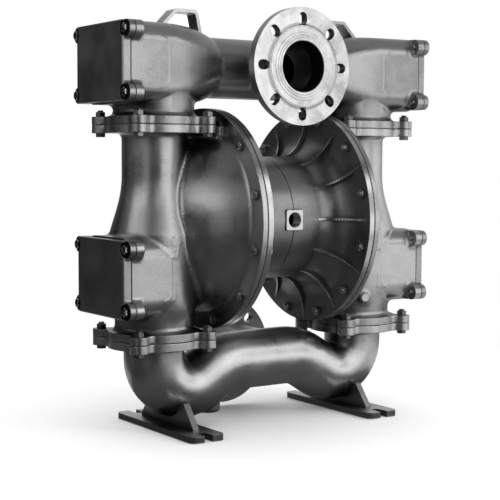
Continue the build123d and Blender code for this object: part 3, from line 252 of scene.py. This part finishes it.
finish_of = {
    "cast_stainless": blasted_stainless, "cast_aluminium": air_aluminium, "valve_aluminium": valve_aluminium,
    "bearing_bronze": bearing_bronze, "fasteners": fastener_steel, "machined_steel": ground_steel,
    "bright_bar": brushed_bar, "diaphragm_rubber": epdm_rubber, "seal_rubber": epdm_rubber,
    "valve_ball": valve_ball_white,
}
slot_of = {s["node"]: s["material_slot"] for s in record["subparts"]}
body_of = {n: b for b, members in record["behaviour"]["bodies"].items() for n in members}


# Merged copies of the castings, with smooth curves and true edges

def merged(node):
    """Corners of a node's triangles, with the doubled ones joined."""
    mesh = nodes[node].data
    points = np.empty(len(mesh.vertices) * 3)
    mesh.vertices.foreach_get("co", points)
    points = points.reshape(-1, 3)
    mesh.calc_loop_triangles()
    faces = np.empty(len(mesh.loop_triangles) * 3, int)
    mesh.loop_triangles.foreach_get("vertices", faces)
    _, first, back = np.unique(
        np.round(points / SAME).astype(np.int64), axis=0, return_index=True, return_inverse=True)
    faces = back.reshape(-1)[faces].reshape(-1, 3)
    solid = (faces[:, 0] != faces[:, 1]) & (faces[:, 1] != faces[:, 2]) & (faces[:, 2] != faces[:, 0])
    return points[first], faces[solid]


def lone_pieces(count, faces):
    """For each corner, the lowest number among all the corners that faces join it to."""
    label = np.arange(count)
    while True:
        spread = label.copy()
        for i in range(faces.shape[1]):
            np.minimum.at(spread, faces[:, i], label[faces].min(axis=1))
        spread = spread[spread]
        if (spread == label).all():
            return label
        label = spread


def soft_corners(points, faces, radius, least=16, proud=0.2):
    """Foundry fillets of a casting: the corners that a ball of this radius, in mm, can't reach from outside.

    Patches shorter than least are left out, and so are those that stand off the casting by less than proud.
    """
    voxel = 1.3 + radius / 9
    looks, hidden, tuck = 80, 0.9, 0.25
    grid = openvdb.createLinearTransform(voxelSize=voxel * MM)
    bands = radius / voxel + 3
    skin = openvdb.FloatGrid.createLevelSetFromPolygons(
        points, triangles=faces, transform=grid, halfWidth=bands)
    swollen, squares = skin.convertToQuads(isovalue=radius * MM)
    back = openvdb.FloatGrid.createLevelSetFromPolygons(
        swollen, quads=squares, transform=grid, halfWidth=bands)
    spots, squares = back.convertToQuads(isovalue=-radius * MM)
    tree = BVHTree.FromPolygons(points.tolist(), faces.tolist())
    nearest = [tree.find_nearest(spot)[:2] for spot in spots.tolist()]
    foot, out = (np.array([found[i][:] for found in nearest]) for i in (0, 1))
    rise = np.einsum("ij,ij->i", spots - foot, out)
    squares = squares[(rise[squares] > proud * MM).any(axis=1)].astype(np.int64)
    patch = lone_pieces(len(spots), squares)[squares[:, 0]]
    kept = []
    for number in np.unique(patch):
        mine = squares[patch == number]
        corners = np.unique(mine)
        if np.ptp(spots[corners], axis=0).max() < least * MM:
            continue
        corners = corners[rise[corners] > proud * MM][::1 + len(corners) // looks]
        shut = [tree.ray_cast(spots[i] + out[i] * MM, out[i])[0] is not None for i in corners]
        # a patch that the casting shuts in on nearly all sides is inside it
        if np.mean(shut) < hidden:
            kept.append(mine)
    squares = np.concatenate(kept)
    # the rim of a patch is tucked under the casting's skin
    spots = np.where((rise < proud * MM)[:, None], foot - tuck * MM * out, spots)
    a, b, c = (spots[squares[:, i]] for i in (0, 1, 2))
    inward = np.einsum("ij,ij->i", np.cross(b - a, c - a), out[squares].mean(axis=1)) < 0
    squares[inward] = squares[inward][:, ::-1]
    used, back = np.unique(squares, return_inverse=True)
    squares = back.reshape(-1, 4)
    return spots[used], np.concatenate([squares[:, [0, 1, 2]], squares[:, [0, 2, 3]]])


def dress(name, points, faces, body, *finishes, crease=CREASE, chooser=None):
    """A mesh piece of the object: smooth but for its creases, with its finishes, riding on a body."""
    mesh = bpy.data.meshes.new(name)
    mesh.from_pydata(points.tolist(), [], faces.tolist())
    mesh.shade_smooth()
    mesh.set_sharp_from_angle(angle=math.radians(crease))
    for finish in finishes:
        mesh.materials.append(finish)
    if chooser is not None:
        corners = points[faces]
        middle = corners.mean(axis=1)
        facing = np.cross(corners[:, 1] - corners[:, 0], corners[:, 2] - corners[:, 0])
        facing /= np.maximum(np.linalg.norm(facing, axis=1, keepdims=True), 1e-12)
        mesh.polygons.foreach_set("material_index", chooser(middle, facing).astype(np.int32))
    piece = place_object(name, mesh)
    if body is not None:
        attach(piece, body)
    return piece


def cast_copy(node, *finishes, chooser=None, crease=CREASE, fillet=0):
    points, faces = merged(node)
    if fillet:
        more_points, more_faces = soft_corners(points, faces, fillet)
        faces = np.concatenate([faces, more_faces + len(points)])
        points = np.concatenate([points, more_points])
    piece = dress(node + "_casting", points, faces, body_of[node], *finishes, crease=crease, chooser=chooser)
    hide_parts(node)
    return piece


def faced(axis, at, tolerance=0.4 * MM):
    """Picks faces that lie on a plane across an axis, in one of the places given."""
    def choose(middle, facing):
        flat = np.abs(facing[:, axis]) > 0.98
        near = np.any([np.abs(middle[:, axis] - a) < tolerance for a in at], axis=0)
        return flat & near
    return choose


for node, part in nodes.items():
    for place in part.material_slots:
        place.material = finish_of[slot_of[node]]


def within(centre, axis, radius):
    """Picks faces nearer to a line than a radius in mm."""
    across = [i for i in range(3) if i != axis]
    def choose(middle, facing):
        return np.linalg.norm(middle[:, across] - np.array(centre)[across], axis=1) < radius * MM
    return choose


def all_of(*choosers):
    return lambda middle, facing: np.all([choose(middle, facing) for choose in choosers], axis=0)


def port_finish(side, height):
    """On a manifold: 1 for the turned faces of its port, 2 for its bore."""
    flat = faced(1, [side * PORT_FACE_Y, side * FLANGE_FACE_Y])
    bore = within((0.0, 0.0, height), 1, 51)
    before = all_of(bore, lambda middle, facing: side * middle[:, 1] > BORE_SKIN_Y)
    return lambda middle, facing: np.where(flat(middle, facing), 1, np.where(before(middle, facing), 2, 0))


def rim_finish(middle, facing):
    """On a chamber: 1 for the turned rim of its ring."""
    reach = np.hypot(middle[:, 1], middle[:, 2] - SHAFT_Z)
    return (reach > RING_RIM_R) & (np.abs(facing[:, 0]) < 0.3)


def rim_and_ridge_highlight(middle, facing):
    """On an air chamber: 1 for the turned rim of its ring, and for the ribs' free edges, where a highlight is
    painted in the rim's bright grey.
    """
    turn = np.arctan2(middle[:, 1], middle[:, 2] - SHAFT_Z) % RIB_TURN
    reach = np.hypot(middle[:, 1], middle[:, 2] - SHAFT_Z)
    aside = reach * np.sin(np.minimum(turn, RIB_TURN - turn))
    out = np.stack([middle[:, 1], middle[:, 2] - SHAFT_Z], axis=1) / reach[:, None]
    sideways = np.abs(facing[:, 1] * out[:, 1] - facing[:, 2] * out[:, 0])
    slopes = np.abs(facing[:, 0]) * (facing[:, 1] * out[:, 0] + facing[:, 2] * out[:, 1])
    # the ribs' free edges: a painted highlight
    ridge = ((aside < 1.6 * MM) & (sideways < 0.05) & (np.abs(middle[:, 0]) < RIB_X[1])
             & (np.abs(middle[:, 0]) > RIB_X[0]) & (slopes > 0.004))
    return rim_finish(middle, facing) | ridge


def painted_spot_shade(middle, facing):
    """On a cover: 1 inside the sunk faces that its bolts sit on, painted near black as the shade in these
    recesses.
    """
    near = [np.hypot(middle[:, 1] - y, middle[:, 2] - z) < COVER_SPOT_R
            for y in (-COVER_BOLT_Y, COVER_BOLT_Y) for z in COVER_BOLT_Z]
    return np.any(near, axis=0)


cast_copy("discharge_manifold", shaded_discharge_stainless, discharge_turned, skin_and_painted_shade,
          chooser=port_finish(-1, DISCHARGE_Z), fillet=8)
cast_copy("inlet_manifold", lit_inlet_stainless, suction_turned, skin_and_painted_shade,
          chooser=port_finish(1, SUCTION_Z), fillet=4)
for side in ("left", "right"):
    cast_copy(side + "_liquid_chamber", blasted_stainless, fillet=8)
    cast_copy(side + "_air_chamber", air_aluminium, milled_rim_and_ridge_highlight, chooser=rim_and_ridge_highlight)
    # the covers' sunk bolt faces are painted near black as shade
    cast_copy(side + "_discharge_cover", shaded_cover_stainless, skin_and_painted_shade, chooser=painted_spot_shade)
    cast_copy(side + "_inlet_cover", shaded_cover_stainless, skin_and_painted_shade, chooser=painted_spot_shade)
    cast_copy(side + "_foot", foot_stainless)
    cast_copy(side + "_lifting_strap", brushed_bar)
cast_copy("centre_block", air_aluminium, milled_rim_and_ridge_highlight, chooser=faced(1, [BLOCK_FACE_Y]))


def helix(name, centre, radius, pitch, length, body, finish):
    """Thread crest inside a bore that runs along Y, as a four-sided ridge, in mm."""
    per_turn = 24
    steps = int(length / pitch * per_turn)
    turn = np.arange(steps + 1) * 2 * math.pi / per_turn
    crest = []
    for i in range(4):
        out = radius + 0.45 * pitch * math.cos(i * math.pi / 2)
        along = turn * pitch / (2 * math.pi) + 0.4 * pitch * math.sin(i * math.pi / 2)
        crest.append(np.stack([out * np.cos(turn), along, out * np.sin(turn)], axis=1))
    points = np.stack(crest, axis=1).reshape(-1, 3) * MM + centre
    faces = []
    for k in range(steps):
        for i in range(4):
            a, b = 4 * k + i, 4 * k + (i + 1) % 4
            faces += [(a, b, b + 4), (a, b + 4, a + 4)]
    return dress(name, points, np.array(faces), body, finish)


def face_rings(name, side, height, body, finish):
    """Sealing rings cut into a port's face: a profile of radius and rise, in mm, turned about the port."""
    profile = [
        (50.3, -0.4), (50.3, 0.9), (51.2, 1.4), (54.6, 1.4), (55.3, 0.7), (56.1, 0.7), (56.8, 1.2),
        (59.6, 1.2), (60.3, 0.5), (61.3, 0.5), (61.9, 0.9), (65.6, 0.9), (66.3, 0.3), (67.2, 0.3),
        (67.8, 0.6), (76.6, 0.6), (77.8, -0.4)]
    count, face = 128, PORT_FACE_Y / MM
    turn = np.arange(count) * 2 * math.pi / count
    rings = [np.stack([r * np.cos(turn), np.full(count, side * (face + rise)), r * np.sin(turn)], axis=1)
             for r, rise in profile]
    points = np.concatenate(rings) * MM + np.array((0.0, 0.0, height))
    faces = []
    for k in range(len(profile) - 1):
        for i in range(count):
            a, b = count * k + i, count * k + (i + 1) % count
            faces += [(a, b, b + count), (a, b + count, a + count)]
    faces = np.array(faces)
    return dress(name, points, faces if side < 0 else faces[:, ::-1], body, finish, crease=12)


for node, side, height, finish in (
    ("discharge_manifold", -1, DISCHARGE_Z, discharge_turned),
    ("inlet_manifold", 1, SUCTION_Z, suction_turned),
):
    rings = face_rings(node + "_face_rings", side, height, "pump_body", finish)
thread = helix("exhaust_thread", (0.0, -0.1266, SHAFT_Z), 15.2, 2.3, 24, "pump_body", milled_rim_and_ridge_highlight)


# Diaphragms: each is cut into sectors round the shaft, one piece per sector

def diaphragm_sectors(node, count=12):
    """Cuts a diaphragm into count sectors round the shaft, each a piece of its own."""
    points, faces = merged(node)
    middle = Vector((float(points[:, 0].mean()), 0.0, SHAFT_Z))
    half = math.pi / count
    for k in range(count):
        turn = 2 * math.pi * k / count
        sector = bmesh.new()
        corners = [sector.verts.new(p) for p in points.tolist()]
        for a, b, c in faces.tolist():
            sector.faces.new((corners[a], corners[b], corners[c]))
        for edge in (turn - half - math.pi / 2, turn + half + math.pi / 2):
            outward = Vector((0.0, math.cos(edge), math.sin(edge)))
            bmesh.ops.bisect_plane(sector, geom=sector.verts[:] + sector.edges[:] + sector.faces[:],
                                   plane_co=middle, plane_no=outward, clear_outer=True)
        bmesh.ops.triangulate(sector, faces=sector.faces[:])
        sector.verts.index_update()
        spots = np.array([v.co[:] for v in sector.verts])
        kept = np.array([[v.index for v in f.verts] for f in sector.faces])
        sector.free()
        piece = dress(f"{node}_sector_{k + 1:02d}", spots, kept, None, epdm_rubber)
        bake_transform(piece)
        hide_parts(node)


for side in ("left", "right"):
    diaphragm_sectors(side + "_diaphragm")


# Fasteners, from one tree: chamfered hexagons, and threads where a shank comes out

def fastener_tree(shank):
    """Hexagon with both rims turned down; with a shank, also the rod below it and its thread."""
    tree = bpy.data.node_groups.new("Bolt" if shank else "Nut", "GeometryNodeTree")
    io = tree.interface
    io.new_socket("Geometry", in_out="INPUT", socket_type="NodeSocketGeometry")
    for name in ("Across Flats", "Height", "Rim", "Shank Radius", "Shank Length", "Thread Length", "Pitch"):
        io.new_socket(name, in_out="INPUT", socket_type="NodeSocketFloat")
    io.new_socket("Finish", in_out="INPUT", socket_type="NodeSocketMaterial")
    io.new_socket("Geometry", in_out="OUTPUT", socket_type="NodeSocketGeometry")
    source = add(tree, "NodeGroupInput").outputs
    # the chamfer's circle as a share of the width across flats, then a thread's core and its crests' line
    chamfer, core_share, crest_share = 0.475, 0.88, 0.89

    def sum_of(first, second, operation="MULTIPLY"):
        return add(tree, "ShaderNodeMath", {0: first, 1: second}, operation=operation).outputs[0]

    def moved(geometry, rise, spin=0.0):
        place = add(tree, "ShaderNodeCombineXYZ", {"Z": rise}).outputs[0]
        return add(tree, "GeometryNodeTransform", {
            "Geometry": geometry, "Translation": place, "Rotation": (spin, 0.0, 0.0)}).outputs[0]

    size, height, rim = source["Across Flats"], source["Height"], source["Rim"]
    middle = sum_of(height, 0.5)
    prism = add(tree, "GeometryNodeMeshCylinder", {
        "Vertices": 6, "Radius": sum_of(size, 1 / math.sqrt(3)), "Depth": height})
    # two cones nose to tail leave the rim that a lathe leaves on a hexagon, 30 degrees to its face
    wide = sum_of(sum_of(size, chamfer), sum_of(height, math.sqrt(3)), "ADD")
    cone = add(tree, "GeometryNodeMeshCone", {
        "Vertices": 48, "Radius Top": sum_of(size, chamfer), "Radius Bottom": wide, "Depth": height})
    over = moved(cone.outputs[0], 0.0)
    under = moved(cone.outputs[0], height, math.pi)
    standing = moved(prism.outputs[0], middle)
    hexagon = add(tree, "GeometryNodeMeshBoolean", operation="INTERSECT", solver="EXACT")
    for piece in (standing, over, under):
        tree.links.new(piece, hexagon.inputs["Mesh 2"])
    pieces = [hexagon.outputs[0]]
    if shank:
        radius, length, threaded = source["Shank Radius"], source["Shank Length"], source["Thread Length"]
        plain = sum_of(length, threaded, "SUBTRACT")
        rod = add(tree, "GeometryNodeMeshCylinder", {"Vertices": 32, "Radius": radius, "Depth": plain})
        pieces.append(moved(rod.outputs[0], sum_of(plain, -0.5)))
        core = add(tree, "GeometryNodeMeshCylinder", {
            "Vertices": 32, "Radius": sum_of(radius, core_share), "Depth": threaded})
        pieces.append(moved(core.outputs[0], sum_of(sum_of(threaded, -0.5), plain, "SUBTRACT")))
        turns = sum_of(sum_of(threaded, rim, "SUBTRACT"), source["Pitch"], "DIVIDE")
        helix = add(tree, "GeometryNodeCurveSpiral", {
            "Resolution": 20, "Rotations": turns, "Start Radius": sum_of(radius, crest_share),
            "End Radius": sum_of(radius, crest_share),
            "Height": sum_of(threaded, rim, "SUBTRACT")})
        tooth = add(tree, "GeometryNodeCurvePrimitiveCircle", {
            "Resolution": 4, "Radius": sum_of(source["Pitch"], 0.4)})
        ridge = add(tree, "GeometryNodeCurveToMesh", {
            "Curve": helix.outputs[0], "Profile Curve": tooth.outputs[0]})
        pieces.append(moved(ridge.outputs[0], sum_of(length, -1.0)))
    joined = add(tree, "GeometryNodeJoinGeometry")
    for piece in pieces:
        tree.links.new(piece, joined.inputs[0])
    turn = add(tree, "GeometryNodeInputNamedAttribute", {"Name": "turn"}, data_type="FLOAT_VECTOR")
    spin = add(tree, "FunctionNodeEulerToRotation", {0: turn.outputs[0]})
    placed = add(tree, "GeometryNodeInstanceOnPoints", {
        "Points": source["Geometry"], "Instance": joined.outputs[0], "Rotation": spin.outputs[0]})
    real = add(tree, "GeometryNodeRealizeInstances", {0: placed.outputs[0]})
    done = add(tree, "GeometryNodeSetMaterial", {"Geometry": real.outputs[0], "Material": source["Finish"]})
    add(tree, "NodeGroupOutput", {"Geometry": done.outputs[0]})
    return tree


def fasteners(node, axis, pitch, finish, threaded=None):
    """Dresses one CAD node of bolts or nuts: each solid's own place and turn go into the tree, with the last
    solid's sizes for all.
    """
    points, faces = merged(node)
    label = lone_pieces(len(points), faces)
    centres, turns = [], []
    for number in np.unique(label):
        solid = points[label == number]
        along = solid @ axis
        middle = solid.mean(axis=0)
        off = solid - middle
        far = np.linalg.norm(off - np.outer(off @ axis, axis), axis=1)
        low, high = (far[np.abs(along - end) < 0.3 * MM].max() for end in (along.min(), along.max()))
        up = axis if threaded is None or high > low else -axis
        level = solid @ up
        wide = far > (0.0 if threaded is None else 1.15 * min(low, high))
        foot = level[wide].min()
        corner = off[np.argmax(far)]
        x = Vector(corner - (corner @ up) * up).normalized()
        z = Vector(up)
        turns.append(Matrix((x, z.cross(x), z)).transposed().to_euler())
        centres.append(middle + (foot - middle @ up) * up)
    sizes = {
        "Across Flats": far.max() * math.sqrt(3), "Height": level[wide].max() - foot, "Rim": 0.5 * MM,
        "Shank Radius": min(low, high), "Shank Length": foot - level.min(), "Pitch": pitch * MM,
        "Finish": finish,
    }
    if threaded is not None:
        sizes["Thread Length"] = threaded * MM
    mesh = bpy.data.meshes.new(node + "_points")
    mesh.from_pydata([tuple(c) for c in centres], [], [])
    turn = mesh.attributes.new("turn", "FLOAT_VECTOR", "POINT")
    turn.data.foreach_set("vector", np.array([t[:] for t in turns]).ravel())
    seat = place_object(node + "_dressed", mesh)
    modifier = seat.modifiers.new("Fasteners", "NODES")
    modifier.node_group = fastener_tree(threaded is not None)
    sockets = {s.name: s.identifier for s in modifier.node_group.interface.items_tree if s.in_out == "INPUT"}
    for name, value in sizes.items():
        modifier[sockets[name]] = value
    graph = bpy.context.evaluated_depsgraph_get()
    plain = bpy.data.meshes.new_from_object(seat.evaluated_get(graph), depsgraph=graph)
    seat.modifiers.clear()
    seat.data = plain
    plain.shade_smooth()
    plain.set_sharp_from_angle(angle=math.radians(CREASE))
    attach(seat, body_of[node])
    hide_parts(node)


ALONG_X, ALONG_Y, ALONG_Z = np.eye(3)
fasteners("cover_bolts", ALONG_X, 1.5, fastener_steel, threaded=20)
fasteners("joint_bolts", ALONG_Z, 1.75, shaded_fastener_steel, threaded=26)
fasteners("joint_nuts", ALONG_Z, 1.75, shaded_fastener_steel)
fasteners("chamber_bolts", ALONG_X, 1.5, fastener_steel, threaded=14)
fasteners("chamber_nuts", ALONG_X, 1.5, fastener_steel)
fasteners("air_valve_bolts", ALONG_Y, 1.25, fastener_steel, threaded=14)
fasteners("valve_cap_bolts", ALONG_X, 1.0, fastener_steel, threaded=9)


# Studio: a floor, a tent of cards that only the metal sees, one lamp, the world and the camera

def sheet_object(name, corners, material):
    mesh = bpy.data.meshes.new(name)
    mesh.from_pydata([tuple(c) for c in corners], [], [(0, 1, 2, 3)])
    mesh.materials.append(material)
    piece = place_object(name, mesh)
    return piece


def pale_floor():
    """White paper: it takes the pump's shadow near the feet and runs out to plain white."""
    material, tree = blank_material("PaleFloor")
    place = add(tree, "ShaderNodeTexCoord").outputs["Object"]
    far = add(tree, "ShaderNodeVectorMath", {0: place}, operation="LENGTH")
    fade = add(tree, "ShaderNodeMapRange", {
        "Value": far.outputs["Value"], "From Min": 0.5, "From Max": 1.3}, interpolation_type="SMOOTHSTEP")
    paper = add(tree, "ShaderNodeBsdfDiffuse", {"Color": linear("#FAFAFA")})
    white = add(tree, "ShaderNodeEmission", {"Color": (1.0, 1.0, 1.0, 1.0), "Strength": 1.0})
    shader = add(tree, "ShaderNodeMixShader", {0: fade.outputs[0], 1: paper.outputs[0], 2: white.outputs[0]})
    close_material(tree, shader)
    return material


def card(name, corners, level):
    """A flat studio card of one grey. Only the metal's reflections see it."""
    material, tree = blank_material(name + "Paint")
    shader = add(tree, "ShaderNodeEmission", {"Color": (level, level, level, 1.0), "Strength": 1.0})
    close_material(tree, shader)
    piece = sheet_object(name, corners, material)
    piece.visible_camera = piece.visible_diffuse = piece.visible_transmission = False
    piece.visible_shadow = piece.visible_volume_scatter = False
    return piece


sheet_object("Floor", [(-9, -9, -0.0005), (9, -9, -0.0005), (9, 9, -0.0005), (-9, 9, -0.0005)], pale_floor())
# softboxes, reflectors and black flags, edge to edge on a tent: name, side, rectangle in metres and one grey
sides = {
    "Front": lambda u, v: (u, -1.4, v), "Back": lambda u, v: (u, 1.4, v), "Left": lambda u, v: (-1.6, u, v),
    "Right": lambda u, v: (1.7, u, v), "Roof": lambda u, v: (u, v, 1.7),
    "Ground": lambda u, v: (u, v, 0.0012),
}
for name, side, (u0, u1), (v0, v1), grey in (
    ("LowSoftbox", "Front", (-0.05, 0.85), (0.0, 0.5), 0.79),
    ("LowRightSoftbox", "Front", (0.85, 1.7), (0.0, 0.5), 0.90),
    ("LowEdge", "Front", (-0.35, -0.05), (0.0, 0.5), 0.50),
    ("LowFlag", "Front", (-0.95, -0.35), (0.0, 0.8), 0.0),
    ("FarFlag", "Front", (-1.6, -0.95), (0.0, 1.15), 0.0),
    ("MiddleSoftbox", "Front", (-0.35, 0.85), (0.5, 0.8), 1.05),
    ("MiddleReflector", "Front", (0.85, 1.7), (0.5, 0.8), 0.26),
    ("UpperReflector", "Front", (-0.95, -0.65), (0.8, 1.15), 0.40),
    ("UpperSoftbox", "Front", (-0.65, 0.85), (0.8, 1.15), 0.80),
    ("UpperRightReflector", "Front", (0.85, 1.7), (0.8, 1.15), 0.15),
    ("TopReflector", "Front", (-1.6, -0.05), (1.15, 1.7), 0.21),
    ("TopSoftbox", "Front", (-0.05, 1.7), (1.15, 1.7), 1.05),
    ("LowFrontReflector", "Left", (-1.4, -0.6), (0.0, 0.8), 0.22),
    ("LowFlag", "Left", (-0.6, 1.4), (0.0, 0.8), 0.05),
    ("FrontReflector", "Left", (-1.4, -1.0), (0.8, 1.15), 0.24),
    ("MiddleSoftbox", "Left", (-1.0, 0.3), (0.8, 1.15), 1.10),
    ("TopReflector", "Left", (-1.4, 0.3), (1.15, 1.7), 0.36),
    ("RearReflector", "Left", (0.3, 1.4), (0.8, 1.7), 0.10),
    ("FrontSoftbox", "Right", (-1.4, -0.7), (0.0, 1.1), 1.0),
    ("MiddleSoftbox", "Right", (-0.7, 0.0), (0.0, 1.1), 0.86),
    ("TopReflector", "Right", (-1.4, 0.0), (1.1, 1.7), 0.16),
    ("RearSoftbox", "Right", (0.0, 1.4), (0.0, 1.7), 0.50),
    ("Flag", "Back", (-1.6, -0.8), (0.0, 1.1), 0.0),
    ("MiddleReflector", "Back", (-0.8, 0.0), (0.0, 1.1), 0.06),
    ("TopReflector", "Back", (-1.6, 0.0), (1.1, 1.7), 0.06),
    ("Softbox", "Back", (0.0, 1.7), (0.0, 1.7), 0.60),
    ("FrontFlag", "Roof", (-1.6, 1.7), (-1.4, -0.8), 0.0),
    ("LeftReflector", "Roof", (-1.6, -0.2), (-0.8, 0.3), 0.15),
    ("RightReflector", "Roof", (-0.2, 1.7), (-0.8, 0.3), 0.28),
    ("RearReflector", "Roof", (-1.6, 1.7), (0.3, 1.4), 0.40),
    ("LeftSheet", "Ground", (-1.6, -0.45), (-1.4, 0.2), 0.03),
    ("InnerSheet", "Ground", (-0.45, 0.0), (-1.4, 0.2), 0.06),
    ("MiddleSheet", "Ground", (0.0, 0.45), (-1.4, 0.2), 0.08),
    ("RightSheet", "Ground", (0.45, 0.9), (-1.4, 0.2), 0.55),
    ("EdgeSheet", "Ground", (0.9, 1.7), (-1.4, 1.4), 0.22),
    ("RearLeftSheet", "Ground", (-1.6, -0.45), (0.2, 1.4), 0.06),
    ("RearSheet", "Ground", (-0.45, 0.9), (0.2, 1.4), 0.35),
):
    spots = [sides[side](u, v) for u, v in ((u0, v0), (u1, v0), (u1, v1), (u0, v1))]
    card(side + name, spots, grey)


def soft_lamp(name, place, target, width, height, watts):
    lamp = bpy.data.lights.new(name, "AREA")
    lamp.shape = "RECTANGLE"
    lamp.size, lamp.size_y = width, height
    lamp.energy = watts
    piece = place_object(name, lamp)
    piece.location = place
    piece.rotation_euler = (Vector(target) - Vector(place)).to_track_quat("-Z", "Y").to_euler()


soft_lamp("FrontRightSoftbox", (1.7, -2.4, 1.5), (0, 0, 0.42), 1.2, 1.6, 20)

world = bpy.data.worlds.new("StudioWorld")
bpy.context.scene.world = world
world.use_nodes = True
world.node_tree.nodes.clear()
rays = add(world.node_tree, "ShaderNodeLightPath")
seen = add(world.node_tree, "ShaderNodeMath", {
    0: rays.outputs["Is Camera Ray"], 1: rays.outputs["Is Glossy Ray"]}, operation="MAXIMUM")
seen = add(world.node_tree, "ShaderNodeMath", {
    0: seen.outputs[0], 1: rays.outputs["Is Transmission Ray"]}, operation="MAXIMUM")
level = add(world.node_tree, "ShaderNodeMapRange", {"Value": seen.outputs[0], "To Min": 1.2, "To Max": 1.0})
sky = add(world.node_tree, "ShaderNodeBackground", {
    "Color": (1.0, 1.0, 1.0, 1.0), "Strength": level.outputs[0]})
add(world.node_tree, "ShaderNodeOutputWorld", {"Surface": sky.outputs[0]})

camera = place_object("Camera", bpy.data.cameras.new("Camera"))
right, ahead = Vector((0.82875, -0.55962, 0.0)), Vector((0.55822, 0.82668, -0.07045))
above = right.cross(ahead).normalized()
turn = Matrix.Rotation(math.radians(0.2), 3, -ahead)
camera.matrix_world = Matrix.Translation((-1.4881, -2.1727, 0.5338)) @ (
    turn @ Matrix((right, above, -ahead)).transposed()).to_4x4()
camera.data.lens, camera.data.sensor_width = 92.14, 36.0
camera.data.clip_start, camera.data.clip_end = 0.05, 60.0
bpy.context.scene.camera = camera
bpy.context.scene.view_settings.view_transform = "Standard"
